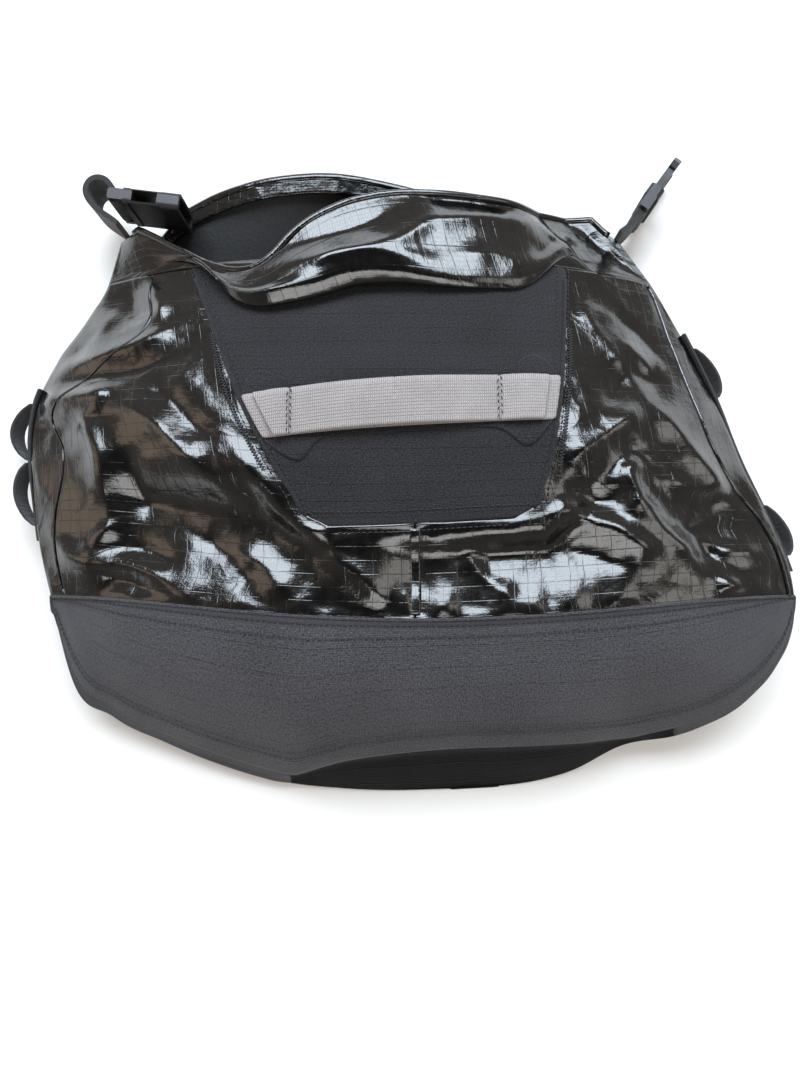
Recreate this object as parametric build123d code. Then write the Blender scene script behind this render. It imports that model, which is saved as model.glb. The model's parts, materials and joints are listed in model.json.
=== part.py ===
from build123d import *
import math
import os

# Roll-top dry bag, empty, lying on its back. Millimetres.
# X runs across the bag, Y from the base towards the mouth, Z up from the resting back.
# The origin is on the resting plane, on the centre seam, at the foot of the front insert.

# ---- Bag ----
BAG_WIDTH = 424.0  # across the side walls at the base seam
BODY_LENGTH = 184.0  # base seam to the line where the mouth folds
BASE_LENGTH = 108.0  # base seam to the lowest edge of the base
COLLAR_LENGTH = 78.0  # fold line to the highest point of the back rim
BAG_DEPTH = 86.0  # height of the front above the back, as it lies
INSERT_FOOT = 46.0  # foot of the insert above the base seam
WALL = 1.6  # laminated fabric
SEAM_RISE = 7.0  # the base seam's ends above its own level
SEAM_SAG = 12.0  # how far the base seam dips at the centre
OUTLINE_DEPTH = 86.0  # the depth that the edge heights below belong to
OUTLINE_COLLAR = 78.0  # the collar that the rims below belong to
GUSSET_FLAT = 18.0  # upright strip of side wall that carries the side webbing
BACK_INSET = 12.0  # the back panel's edge inside the outline
FOLD_GAP = 0.8  # between the body and the collar at the fold line
PIPING_WIDTH = 2.6
PIPING_HEIGHT = 1.6
TAPE_WIDTH = 16.0  # sealing tape inside
TAPE_THICK = 0.4
TAPE_GAP = 1.4  # sealing tape below the wall it seals
TRIM_GAP = 0.7  # raised seams above the wall they cross
CENTRE_SEAM_WIDTH = 8.0
CENTRE_SEAM_THICK = 0.9
HEM_WIDTH = 5.0
HEM_THICK = 4.0

# ---- Webbing ----
WEBBING = 25.0
WEB_THICK = 1.5
LAYER_GAP = 1.0  # between stacked layers
HANDLE_TILT = 0.065  # the handle's rise per unit of X
HANDLE_UP = 0.462 * (BODY_LENGTH - INSERT_FOOT)  # handle's centre above the insert's foot
HANDLE_ARCH = 10.0  # rise of the grab span
BARTACK_LEFT = -0.1557 * BAG_WIDTH
BARTACK_RIGHT = 0.1038 * BAG_WIDTH
BARTACK_LENGTH = 3.0
END_LOOP_RISE = 3.0
PATCH_THICK = 0.7
SIDE_WEBBING = 16.0  # width of the daisy chain down each side
LOOP_BOWS = {"left": 9.0, "right": 6.0}  # how far a side loop stands out

# ---- Buckle for the corner tabs ----
BUCKLE_WIDTH = WEBBING + 8.0
BUCKLE_THICK = 10.5
SOCKET_LENGTH = 42.0
PRONG_LENGTH = 25.0
BAR_R = 2.0
BAR_CLEAR = 0.15
SLOT = 4.8  # from the bar's face to the body of the buckle
SHELL = 1.8
PRONG_GAP = 0.5  # between a prong's root and the frame
TAB_LEFT_Z = BUCKLE_WIDTH / 2 + 13.5  # middle of the left tab, which lies over the corner
TAB_RIGHT_Z = BUCKLE_WIDTH / 2 + 2

# ---- Places worked out from these ----
HALF = BAG_WIDTH / 2
Y_SEAM = -INSERT_FOOT
Y_FOLD = Y_SEAM + BODY_LENGTH
Y_CORNER = Y_FOLD + COLLAR_LENGTH / 2  # where front, back and side meet at the mouth's corners
Y_SEAM_CENTRE = Y_SEAM + SEAM_RISE - SEAM_SAG
FOOT_ROW = (0 - Y_SEAM_CENTRE) / (Y_FOLD - FOLD_GAP / 2 - Y_SEAM_CENTRE)
ROWS_LOW = [FOOT_ROW * k / 3 for k in range(4)]
HIGH_SHARES = (0, 0.05, 0.15, 0.28, 0.42, 0.56, 0.7, 0.85, 1)
ROWS_HIGH = [FOOT_ROW + (1 - FOOT_ROW) * share for share in HIGH_SHARES]

# Outlines, as (station, share of half the width). Station -1 is the foot of the base,
# 0 the base seam, 1 the fold line and 2 the top of the back rim.
LEFT = [(-0.35, -0.95), (0.0, -0.985), (0.2, -1.035), (0.5, -1.08), (0.68, -1.07)]
LEFT += [(0.83, -1.01), (1, -0.92), (1.2, -0.88), (2, -0.87)]
RIGHT = [(-0.3, 0.95), (0.0, 1.01), (0.15, 1.0), (0.45, 0.91), (0.65, 0.856)]
RIGHT += [(0.8, 0.80), (1, 0.72), (1.3, 0.62), (2, 0.5)]
LEFT_SEAM_IN = [(0, 12), (0.5, 17), (0.83, 22), (1, 26), (1.5, 20), (2, 18)]
RIGHT_SEAM_IN = [(0, 5), (0.25, 9), (0.5, 19), (0.85, 13), (1, 7), (2, 4)]
LEFT_EDGE_Z = [(-0.4, 28), (0, 34), (0.4, 26), (2, 24)]
RIGHT_EDGE_Z = [(-0.4, 42), (0, 46), (0.35, 36), (0.6, 28), (2, 28)]
CENTRE_Z = [(0, 0.953), (0.25, 1.0), (0.5, 1.01), (0.65, 0.975), (0.8, 0.88)]
CENTRE_Z += [(1, 0.72), (1.5, 0.58), (2, 0.46)]
# Lowest edge of the base, as (share of half the width, station) and (share, height).
BASE_EDGE = [(-0.985, -0.02), (-0.95, -0.34), (-0.84, -0.61), (-0.55, -0.85), (-0.3, -0.98)]
BASE_EDGE += [(0.14, -1.0), (0.36, -0.955), (0.58, -0.77), (0.75, -0.64), (0.88, -0.47)]
BASE_EDGE += [(0.96, -0.26), (1.01, -0.02)]
BASE_EDGE_Z = [(-0.985, 33), (-0.95, 28), (-0.84, 21), (-0.55, 16), (-0.2, 14), (0.4, 14)]
BASE_EDGE_Z += [(0.58, 18), (0.75, 30), (0.96, 42), (1.01, 46)]
# Rims, as (share of half the width, mm above the fold line).
FRONT_RIM = [(-0.76, 40), (-0.66, 28), (-0.56, 15), (-0.47, 11), (-0.40, 19), (-0.33, 38)]
FRONT_RIM += [(-0.21, 54), (-0.07, 61), (0.07, 62), (0.28, 55), (0.55, 45)]
BACK_RIM = [(-0.78, 42), (-0.68, 62), (-0.47, 75), (-0.30, 78), (-0.15, 76)]
BACK_RIM += [(0.07, 66), (0.30, 57), (0.56, 47)]


def smooth(points, at):
    """Value of a smooth curve through (position, value) points, held flat past both ends."""
    if at <= points[0][0]:
        return points[0][1]
    if at >= points[-1][0]:
        return points[-1][1]
    i = max(k for k in range(len(points) - 1) if points[k][0] <= at)
    (x0, y0), (x1, y1) = points[i], points[i + 1]

    def slope(k):
        if k == 0 or k == len(points) - 1:
            return (y1 - y0) / (x1 - x0)
        return (points[k + 1][1] - points[k - 1][1]) / (points[k + 1][0] - points[k - 1][0])

    t = (at - x0) / (x1 - x0)
    width = x1 - x0
    a, b = slope(i) * width, slope(i + 1) * width
    start = (2 * t**3 - 3 * t**2 + 1) * y0 + (t**3 - 2 * t**2 + t) * a
    return start + (3 * t**2 - 2 * t**3) * y1 + (t**3 - t**2) * b


def between(a, b, t):
    return a + (b - a) * t


def station(y):
    """Station of a place along the bag."""
    if y >= Y_FOLD:
        return 1 + (y - Y_FOLD) / COLLAR_LENGTH
    if y >= Y_SEAM:
        return (y - Y_SEAM) / BODY_LENGTH
    return (y - Y_SEAM) / BASE_LENGTH


def left(y):
    return HALF * smooth(LEFT, station(y))


def right(y):
    return HALF * smooth(RIGHT, station(y))


def left_seam(y):
    return left(y) + smooth(LEFT_SEAM_IN, station(y))


def right_seam(y):
    return right(y) - smooth(RIGHT_SEAM_IN, station(y))


def left_edge_z(y):
    return BAG_DEPTH / OUTLINE_DEPTH * smooth(LEFT_EDGE_Z, station(y))


def right_edge_z(y):
    return BAG_DEPTH / OUTLINE_DEPTH * smooth(RIGHT_EDGE_Z, station(y))


def seam_y(x):
    """The base seam, which dips at the centre."""
    return Y_SEAM + SEAM_RISE - SEAM_SAG * (1 - min(1.0, (x / HALF) ** 2)) ** 2


def row_y(x, row):
    return between(seam_y(x), Y_FOLD - FOLD_GAP / 2, row)


def top(x, y):
    """Height of the front's outer face."""
    a, b = left(y), right(y)
    u = (2 * x - a - b) / (b - a)
    edge = left_edge_z(y) if u < 0 else right_edge_z(y)
    centre = BAG_DEPTH * smooth(CENTRE_Z, station(y))
    return edge + (centre - edge) * (1 - min(1.0, abs(u)) ** 2.4)


def base_edge_y(x):
    return min(Y_SEAM + BASE_LENGTH * smooth(BASE_EDGE, x / HALF), seam_y(x))


def base_edge_z(x):
    return BAG_DEPTH / OUTLINE_DEPTH * smooth(BASE_EDGE_Z, x / HALF)


def base_top(x, y):
    """Height of the base's outer face, from the seam down to the lowest edge."""
    low, high = base_edge_y(x), seam_y(x)
    w = 1.0 if high - low < 0.01 else min(1.0, max(0.0, (y - low) / (high - low)))
    return between(base_edge_z(x), top(x, high), 1 - (1 - w) ** 2.2)


def insert_left(row):
    t = (row - FOOT_ROW) / (1 - FOOT_ROW)
    return HALF * (-0.205 if t < 0.01 else -0.265 - 0.345 * t)


def insert_right(row):
    t = (row - FOOT_ROW) / (1 - FOOT_ROW)
    return HALF * (0.24 if t < 0.01 else 0.285 + 0.125 * t**0.6)


# ---- Solids from grids ----
def corner_faces(a, b, c, d):
    """One or two triangles over four corners, leaving out corners that meet."""
    faces = []
    for three in ((a, b, c), (a, c, d)):
        if all((Vector(*p) - Vector(*q)).length > 1e-5 for p, q in zip(three, three[1:] + three[:1])):
            faces.append(Face(Wire.make_polygon([Vector(*p) for p in three], close=True)))
    return faces


def thick(outer, inner):
    """Closed solid between two grids of points with the same rows and columns."""
    faces = []
    rows, cols = len(outer), len(outer[0])
    for i in range(rows - 1):
        for j in range(cols - 1):
            for grid in (outer, inner):
                faces += corner_faces(grid[i][j], grid[i + 1][j], grid[i + 1][j + 1], grid[i][j + 1])
    edge = [(i, 0) for i in range(rows)] + [(rows - 1, j) for j in range(1, cols)]
    edge += [(i, cols - 1) for i in range(rows - 2, -1, -1)] + [(0, j) for j in range(cols - 2, 0, -1)]
    for (i, j), (k, m) in zip(edge, edge[1:] + edge[:1]):
        faces += corner_faces(outer[i][j], outer[k][m], inner[k][m], inner[i][j])
    return Solid(Shell(faces))


def sheet(rows, height, wall, lift=0.0):
    """Upright-walled sheet over one or more grids of (x, y) places that share their edges."""
    cells = []
    for grid in rows:
        for low, high in zip(grid, grid[1:]):
            for j in range(len(low) - 1):
                cells.append([low[j], low[j + 1], high[j + 1], high[j]])
    faces = []
    count = {}

    def at(p, down):
        return (p[0], p[1], height(*p) + lift - down)

    for cell in cells:
        ring = [p for k, p in enumerate(cell) if math.dist(p, cell[k - 1]) > 1e-5]
        if len(ring) < 3:
            continue
        for down in (0.0, wall):
            for k in range(1, len(ring) - 1):
                corners = [Vector(*at(p, down)) for p in (ring[0], ring[k], ring[k + 1])]
                faces.append(Face(Wire.make_polygon(corners, close=True)))
        for p, q in zip(ring, ring[1:] + ring[:1]):
            key = frozenset([(round(p[0], 4), round(p[1], 4)), (round(q[0], 4), round(q[1], 4))])
            count.setdefault(key, []).append((p, q))
    for sides in count.values():
        if len(sides) == 1:
            p, q = sides[0]
            faces += corner_faces(at(p, 0), at(q, 0), at(q, wall), at(p, wall))
    return Solid(Shell(faces))


def save(name, *solids):
    shape = solids[0] if len(solids) == 1 else Compound(children=list(solids))
    shape.label = name
    export_step(shape, f"parts/{name}.step")


def spread(a, b, count):
    return [between(a, b, k / count) for k in range(count + 1)]


# ---- Front ----
def insert_columns(row):
    a, b = insert_left(row), insert_right(row)
    t = (row - FOOT_ROW) / (1 - FOOT_ROW)
    middle = -0.06 * HALF * t
    return spread(a, middle, 3) + spread(middle, b, 3)[1:]


def place(x_at, row):
    """An (x, y) place on a row, where x may be a number or a function of y."""
    y = row_y(0, row)
    x = x_at(y) if callable(x_at) else x_at
    return (x, row_y(x, row))


def make_front():
    save("front_insert", sheet([[[place(x, r) for x in insert_columns(r)] for r in ROWS_HIGH]], top, WALL))
    foot = insert_columns(FOOT_ROW)
    for side, seam, inner, low_inner in (
        ("left", left_seam, insert_left, foot[:4]),
        ("right", right_seam, insert_right, foot[:2:-1]),
    ):
        low, high = [], []
        for r in ROWS_LOW:
            edge = seam(row_y(seam(row_y(0, r)), r))
            low.append([place(x, r) for x in spread(edge, low_inner[0], 6) + low_inner[1:]])
        for r in ROWS_HIGH:
            edge = seam(row_y(seam(row_y(0, r)), r))
            high.append([place(x, r) for x in spread(edge, inner(r), 6)])
        save(f"front_panel_{side}", sheet([low, high], top, WALL))


def seam_place(side, row):
    """Where the front meets a side wall on this row."""
    seam = left_seam if side < 0 else right_seam
    x = seam(row_y(seam(row_y(0, row)), row))
    return (x, row_y(x, row))


def side_profile(side, p, z_edge):
    """Outer and inner points of a side wall beyond the front's edge place p."""
    y = p[1]
    x = left(y) if side < 0 else right(y)
    z_low = max(4.0, z_edge(y) - GUSSET_FLAT)
    z_front = top(*p)
    outer = [(p[0], y, z_front), (x, y, z_edge(y)), (x, y, z_low), (x - side * BACK_INSET, y, 0)]
    inside = x - side * WALL
    inner = [(p[0], y, z_front - WALL), (inside, y, z_edge(y) - WALL), (inside, y, z_low + 0.5)]
    return outer, inner + [(x - side * BACK_INSET, y, WALL)]


def make_sides():
    rows = ROWS_LOW + ROWS_HIGH[1:]
    for name, side, z_edge in (("left", -1, left_edge_z), ("right", 1, right_edge_z)):
        pairs = [side_profile(side, seam_place(side, r), z_edge) for r in rows]
        save(f"gusset_{name}", thick([p[0] for p in pairs], [p[1] for p in pairs]))


def make_back():
    def flat(x, y):
        return WALL

    rows = ROWS_LOW + ROWS_HIGH[1:]
    grid = []
    for r in rows:
        a, b = seam_place(-1, r), seam_place(1, r)
        start = (left(a[1]) + BACK_INSET, a[1])
        stop = (right(b[1]) - BACK_INSET, b[1])
        shares = (0, 0.25, 0.5, 0.75, 1)
        grid.append([(between(start[0], stop[0], t), between(start[1], stop[1], t)) for t in shares])
    save("back_panel", sheet([grid], flat, WALL))
    seam_row = grid[0]
    low = [back_edge(x) for x in base_columns() if seam_row[0][0] < back_edge(x)[0] < seam_row[-1][0]]
    outline = [seam_row[-1], seam_row[0]] + [p for p in low if p[1] < seam_row[0][1] - 1]
    band = Face(Wire.make_polygon([Vector(x, y, 0) for x, y in outline], close=True))
    save("base_band_back", extrude(band, amount=WALL, dir=(0, 0, 1)))


# ---- Base ----
def base_columns():
    foot = insert_columns(FOOT_ROW)
    a, b = seam_place(-1, 0)[0], seam_place(1, 0)[0]
    xs = [left(seam_y(-HALF))] + spread(a, foot[0], 6) + foot[1:-1] + spread(foot[-1], b, 6)
    return xs + [right(seam_y(HALF))]


def inward(x):
    """Unit direction into the bag from the base's lowest edge, in plan."""
    first, last = left(seam_y(-HALF)), right(seam_y(HALF))
    if not first < x < last:
        return (1.0, 0.0) if x < 0 else (-1.0, 0.0)
    step = 2.0
    a, b = max(x - step, first), min(x + step, last)
    dx, dy = b - a, base_edge_y(b) - base_edge_y(a)
    size = math.hypot(dx, dy)
    return (-dy / size, dx / size)


def back_edge(x):
    n = inward(x)
    return (x + n[0] * BACK_INSET, base_edge_y(x) + n[1] * BACK_INSET)


CREASE_FROM, CREASE_TO = -0.47, 0.71  # the bottom panel's corners, as shares of half the width
CREASE_UP = 33.0  # the band's lower edge above the lowest edge, at the middle


def crease_y(x):
    t = (x / HALF - CREASE_FROM) / (CREASE_TO - CREASE_FROM)
    rise = CREASE_UP * math.sin(math.pi * t) ** 1.2 if 0 < t < 1 else 0.0
    return min(base_edge_y(x) + rise, seam_y(x))


def foot_profile(x):
    """Outer and inner points of the wall between the base's lowest edge and the back."""
    n = inward(x)
    y, z = base_edge_y(x), base_edge_z(x)
    bx, by = back_edge(x)
    z_low = max(4.0, z - GUSSET_FLAT)
    outer = [(x, y, z - WALL), (x, y, z_low), (bx, by, 0)]
    inside = (x + n[0] * WALL, y + n[1] * WALL)
    return outer, [(*inside, z - 2 * WALL), (*inside, z_low + 0.5), (bx, by, WALL)]


def make_base():
    xs = base_columns()
    shares = (0, 0.15, 0.32, 0.5, 0.7, 0.86, 1)
    band = [[(x, between(seam_y(x), crease_y(x), t)) for x in xs] for t in shares]
    save("base_band_front", sheet([band], base_top, WALL))
    middle = [x for x in xs if CREASE_FROM * HALF < x < CREASE_TO * HALF]
    first, last = xs[xs.index(middle[0]) - 1], xs[xs.index(middle[-1]) + 1]
    middle = [first] + middle + [last]
    slope = [[(x, between(crease_y(x), base_edge_y(x), t)) for x in middle] for t in (0, 0.5, 1)]
    bottom = sheet([slope], base_top, WALL)
    pairs = [foot_profile(x) for x in middle]
    foot = thick([p[0] for p in pairs], [p[1] for p in pairs])
    save("bottom_panel", bottom, foot)
    for name, part in (("left", [x for x in xs if x <= first]), ("right", [x for x in xs if x >= last])):
        pairs = [foot_profile(x) for x in part]
        save(f"base_band_{name}", thick([p[0] for p in pairs], [p[1] for p in pairs]))


# ---- Raised seams outside and sealing tapes inside ----
def along_seam(places, width):
    """Strip of a width along a list of places, as a grid of (x, y) places."""
    grid = []
    for k, p in enumerate(places):
        a, b = places[max(k - 1, 0)], places[min(k + 1, len(places) - 1)]
        dx, dy = b[0] - a[0], b[1] - a[1]
        size = math.hypot(dx, dy)
        n = (-dy / size * width / 2, dx / size * width / 2)
        grid.append([(p[0] - n[0], p[1] - n[1]), (p[0] + n[0], p[1] + n[1])])
    return grid


def make_seams():
    lift = PIPING_HEIGHT + TRIM_GAP
    rows = ROWS_HIGH[1:]
    for name, edge in (("left", insert_left), ("right", insert_right)):
        places = [place(edge(r), r) for r in rows]
        save(f"insert_piping_{name}", sheet([along_seam(places, PIPING_WIDTH)], top, PIPING_HEIGHT, lift))
        inside = [(x, y) for x, y in places[:-1]]
        tape = along_seam(inside, TAPE_WIDTH)
        save(f"seam_tape_{name}", sheet([tape], top, TAPE_THICK, -WALL - TAPE_GAP))
    for name, side in (("left", -1), ("right", 1)):
        places = [seam_place(side, r) for r in ROWS_LOW[1:] + ROWS_HIGH[1:]]
        pulled = [(x - side * PIPING_WIDTH, y) for x, y in places]
        save(f"gusset_piping_{name}", sheet([along_seam(pulled, PIPING_WIDTH)], top, PIPING_HEIGHT, lift))
    xs = base_columns()[1:-1]
    above = [(x, seam_y(x) + PIPING_WIDTH / 2) for x in xs]
    save("base_piping", sheet([along_seam(above, PIPING_WIDTH)], top, PIPING_HEIGHT, lift))
    below = [(x, seam_y(x) + TAPE_WIDTH / 2 + 1) for x in xs[2:-2]]
    save("seam_tape_base", sheet([along_seam(below, TAPE_WIDTH)], top, TAPE_THICK, -WALL - TAPE_GAP))
    first, last = seam_y(0) + 3 * PIPING_WIDTH, row_y(0, FOOT_ROW) - PIPING_WIDTH
    line = along_seam([(0, y) for y in spread(first, last, 3)], CENTRE_SEAM_WIDTH)
    save("centre_seam", sheet([line], top, CENTRE_SEAM_THICK, CENTRE_SEAM_THICK + TRIM_GAP))


# ---- Handle on the insert ----
def handle_y(x):
    return HANDLE_UP + HANDLE_TILT * x


def insert_span(up, margin):
    """X of both insert seams, less a margin, at a height above the handle's middle line."""
    span = (0.0, 0.0)
    for _ in range(3):
        rows = [(handle_y(x) + up - seam_y(0)) / (Y_FOLD - seam_y(0)) for x in span]
        span = (insert_left(rows[0]) + margin, insert_right(rows[1]) - margin)
    return span


def seam_to_seam(low, high, count, margin, flare=lambda e: 0.0):
    """Grid of a band across the insert whose ends follow the insert's seams."""
    grid = []
    for t in spread(0, 1, count):
        pair = []
        for up in (low, high):
            x = between(*insert_span(up, margin), t)
            pair.append((x, handle_y(x) + up + math.copysign(flare(abs(2 * t - 1)), up)))
        grid.append(pair)
    return grid


def strap(start, stop, count, level, arch=0.0, tall=WEBBING):
    """Webbing across the insert at a level above it, arched in the middle of its span."""
    grid = []
    for x in spread(start, stop, count):
        y = handle_y(x)
        grid.append([(x, y - tall / 2), (x, y + tall / 2)])

    def height(x, y):
        share = (x - start) / (stop - start)
        return top(x, y) + level + WEB_THICK + arch * math.sin(math.pi * min(1, max(0, share))) ** 0.8

    return sheet([grid], height, WEB_THICK)


def patch_flare(e):
    """How far the patch widens towards its two rounded ends, and then draws in."""
    return 9.0 * math.exp(-(((e - 0.84) / 0.15) ** 2)) - 8.0 * max(0.0, (e - 0.88) / 0.12) ** 2


def make_handle():
    margin = PIPING_WIDTH / 2 + 1.2
    reach = WEBBING / 2 + 3
    patch = seam_to_seam(-reach, reach, 14, margin + 3, patch_flare)
    patch = [[p, (between(p[0], q[0], 0.5), between(p[1], q[1], 0.5)), q] for p, q in patch]
    save("handle_patch", sheet([patch], top, PATCH_THICK, PATCH_THICK + TRIM_GAP))
    level = PATCH_THICK + TRIM_GAP + LAYER_GAP
    under = seam_to_seam(-WEBBING / 2, WEBBING / 2, 12, margin)
    save("handle_base_strap", sheet([under], top, WEB_THICK, WEB_THICK + level))
    a = insert_span(-WEBBING / 2, margin + 1)[0]
    b = insert_span(0, margin + 1)[1]
    level += WEB_THICK + LAYER_GAP
    ends = [
        strap(a, BARTACK_LEFT - BARTACK_LENGTH / 2, 5, level, END_LOOP_RISE),
        strap(BARTACK_RIGHT + BARTACK_LENGTH / 2, b, 5, level, END_LOOP_RISE),
    ]
    save("handle_end_loops", *ends)
    tacks = []
    for x in (BARTACK_LEFT, BARTACK_RIGHT):
        half = BARTACK_LENGTH / 2
        tacks.append(strap(x - half, x + half, 1, level - LAYER_GAP / 2, tall=WEBBING - 1))
    save("handle_bartacks", *tacks)
    gap = BARTACK_LENGTH / 2 + 0.4
    save("handle_strap", strap(BARTACK_LEFT + gap, BARTACK_RIGHT - gap, 12, level, HANDLE_ARCH))


# ---- Daisy chains down the sides ----
def side_spots(name):
    """First and last station of the two loops on a side."""
    return ((0.27, 0.475), (0.485, 0.67)) if name == "left" else ((0.17, 0.33), (0.69, 0.85))


def make_daisy_chains():
    for name, side, outline, z_edge in (("left", -1, left, left_edge_z), ("right", 1, right, right_edge_z)):
        spots = side_spots(name)

        def band(y, out):
            z = z_edge(y) - GUSSET_FLAT / 2
            x = outline(y) + side * out
            return [(x, y, z - SIDE_WEBBING / 2), (x, y, z + SIDE_WEBBING / 2)]

        ys = [Y_SEAM + BODY_LENGTH * s for s in spread(spots[0][0] - 0.05, spots[1][1] + 0.05, 14)]
        near = WALL * 0.5
        tape = thick([band(y, near) for y in ys], [band(y, near + WEB_THICK) for y in ys])
        save(f"daisy_tape_{name}", tape)
        loops = []
        for first, last in spots:
            inner, outer = [], []
            for k in range(11):
                y = Y_SEAM + BODY_LENGTH * between(first, last, k / 10)
                bow = near + WEB_THICK + 0.3 + LOOP_BOWS[name] * math.sin(math.pi * k / 10) ** 0.7
                inner.append(band(y, bow))
                outer.append(band(y, bow + WEB_THICK))
            loops.append(thick(inner, outer))
        save(f"daisy_loops_{name}", *loops)


# ---- Collar: the mouth, which folds as one at the fold line ----
def rim_at(rim, x):
    return Y_FOLD + COLLAR_LENGTH / OUTLINE_COLLAR * smooth(rim, x / HALF)


def collar_grid(rim, first, last, count, steps):
    """Grid from the fold line, between first and last, up to the rim."""
    grid = []
    y0 = Y_FOLD + FOLD_GAP / 2
    for k in range(steps + 1):
        row = []
        for j in range(count + 1):
            x_top = between(rim[0][0], rim[-1][0], j / count) * HALF
            x = between(between(first, last, j / count), x_top, k / steps)
            row.append((x, between(y0, rim_at(rim, x_top), k / steps)))
        grid.append(row)
    return grid


def back_height(x, y):
    """The back of the collar lifts off the floor towards its rim."""
    up = max(0.0, (y - Y_FOLD) / COLLAR_LENGTH)
    u = min(1.0, abs((x / HALF + 0.12) / 0.68))
    return WALL + BAG_DEPTH * 0.33 * up**1.6 * (1 - u**2)


def make_collar():
    y0 = Y_FOLD + FOLD_GAP / 2
    front = collar_grid(FRONT_RIM, left_seam(y0), right_seam(y0), 16, 4)
    save("collar_front", sheet([front], top, WALL))
    back = collar_grid(BACK_RIM, left(y0) + BACK_INSET, right(y0) - BACK_INSET, 14, 4)
    save("collar_back", sheet([back], back_height, WALL))
    lift = (HEM_THICK - WALL) / 2
    for name, grid, height in (("front", front, top), ("back", back, back_height)):
        rim = grid[-1]
        strip = []
        for p, (a, b) in zip(rim, along_seam(rim, HEM_WIDTH)):
            strip.append([(x + p[0] - a[0], y + p[1] - a[1]) for x, y in (a, b)])

        def level(x, y, rim=rim, height=height):
            near = min(rim, key=lambda p: math.dist(p, (x, y)))
            return height(*near)

        up = lift if name == "front" else HEM_THICK - WALL
        save(f"rim_hem_{name}", sheet([strip], level, HEM_THICK, up))
    for name, side, outline, z_edge in (("left", -1, left, left_edge_z), ("right", 1, right, right_edge_z)):
        outer, inner = [], []
        for k, y in enumerate(spread(y0, Y_CORNER, len(front) - 1)):
            a, b = (front[k][0], back[k][0]) if side < 0 else (front[k][-1], back[k][-1])
            x, z = outline(y), z_edge(y)
            z_low = max(back_height(*b) + 1, z - GUSSET_FLAT)
            outer.append([(*a, top(*a)), (x, y, z), (x, y, z_low), (*b, back_height(*b) - WALL)])
            x -= side * WALL
            inner.append([(*a, top(*a) - WALL), (x, y, z - WALL), (x, y, z_low + 0.5), (*b, back_height(*b))])
        save(f"collar_side_{name}", thick(outer, inner))


# ---- Corner tabs and the buckle halves on them ----
TAB_THICK = 3.0  # doubled webbing
EYE_R = BAR_R + BAR_CLEAR + WEB_THICK
ROOT_LEFT = (left(Y_CORNER) + 10, Y_CORNER + TAB_THICK + 0.6)
ROOT_RIGHT = (right(Y_CORNER) + 1, Y_CORNER + TAB_THICK + 0.6)
# The tabs' middle lines, from the sewn root to the bar, relative to the root.
PATH_LEFT = [(0, 0), (-9, 6.5), (-17, 14), (-19, 21), (-15, 27), (-8.5, 27), (-4, 22.5), (-2.5, 16)]
PATH_RIGHT = [(0, 0), (8, 6.5), (14, 15)]
AIM_LEFT = -7.0  # degrees from +X
AIM_RIGHT = 54.0


def tab(path, root, z):
    line = Spline([Vector(root[0] + x, root[1] + y, 0) for x, y in path])
    near, far = [], []
    steps = 4 * len(path)
    reach = (line.length - BAR_R - BAR_CLEAR - WEB_THICK / 2) / line.length
    for k in range(steps + 1):
        t = reach * k / steps
        p, d = line.position_at(t), line.tangent_at(t)
        n = Vector(-d.Y, d.X, 0) * (TAB_THICK / 2)
        low, high = z - WEBBING / 2, z + WEBBING / 2
        near.append([(p.X - n.X, p.Y - n.Y, low), (p.X - n.X, p.Y - n.Y, high)])
        far.append([(p.X + n.X, p.Y + n.Y, low), (p.X + n.X, p.Y + n.Y, high)])
    end = (root[0] + path[-1][0], root[1] + path[-1][1])
    eye = Cylinder(EYE_R, WEBBING) - Cylinder(BAR_R + BAR_CLEAR, WEBBING)
    body = thick(near, far) + Pos(end[0], end[1], z) * eye
    hole = Pos(end[0], end[1], z) * Cylinder(BAR_R + BAR_CLEAR, WEBBING)
    return body - hole, end


def slab(x0, x1, half_y, half_z):
    """Box along X from x0 to x1, centred on Y and Z."""
    return Pos((x0 + x1) / 2, 0, 0) * Box(x1 - x0, 2 * half_y, 2 * half_z)


def tail(body_from):
    """Bar and its two cheeks, shared by both halves of the buckle."""
    cheek = (BUCKLE_WIDTH - WEBBING - 2) / 2
    bar = Cylinder(BAR_R, BUCKLE_WIDTH - 1)
    cheeks = slab(-BAR_R, body_from + 1, 3.2, BUCKLE_WIDTH / 2)
    cheeks -= slab(-9, body_from + 2, 6, BUCKLE_WIDTH / 2 - cheek)
    return bar + fillet(cheeks.edges().filter_by(Axis.Z), 1.4)


def make_socket():
    start = BAR_R + SLOT
    half_z, half_y = BUCKLE_WIDTH / 2, BUCKLE_THICK / 2
    stop = SOCKET_LENGTH - BAR_R
    window_from, window_to = start + 5.5, stop - 13
    body = slab(start, stop, half_y, half_z)
    body = fillet(body.edges().filter_by(Axis.X), 3.2)
    for y in (-1, 1):
        waist = Pos((window_from + window_to) / 2, y * (half_y + 2.6), 0)
        body -= waist * Box(window_to - window_from + 4, 7.2, 2 * half_z)
    body -= slab(start + 3.5, stop + 1, half_y - SHELL, half_z - SHELL - 1.2)
    body -= slab(window_from, window_to, half_y - SHELL - 0.2, half_z + 1)
    return body + tail(start)


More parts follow.
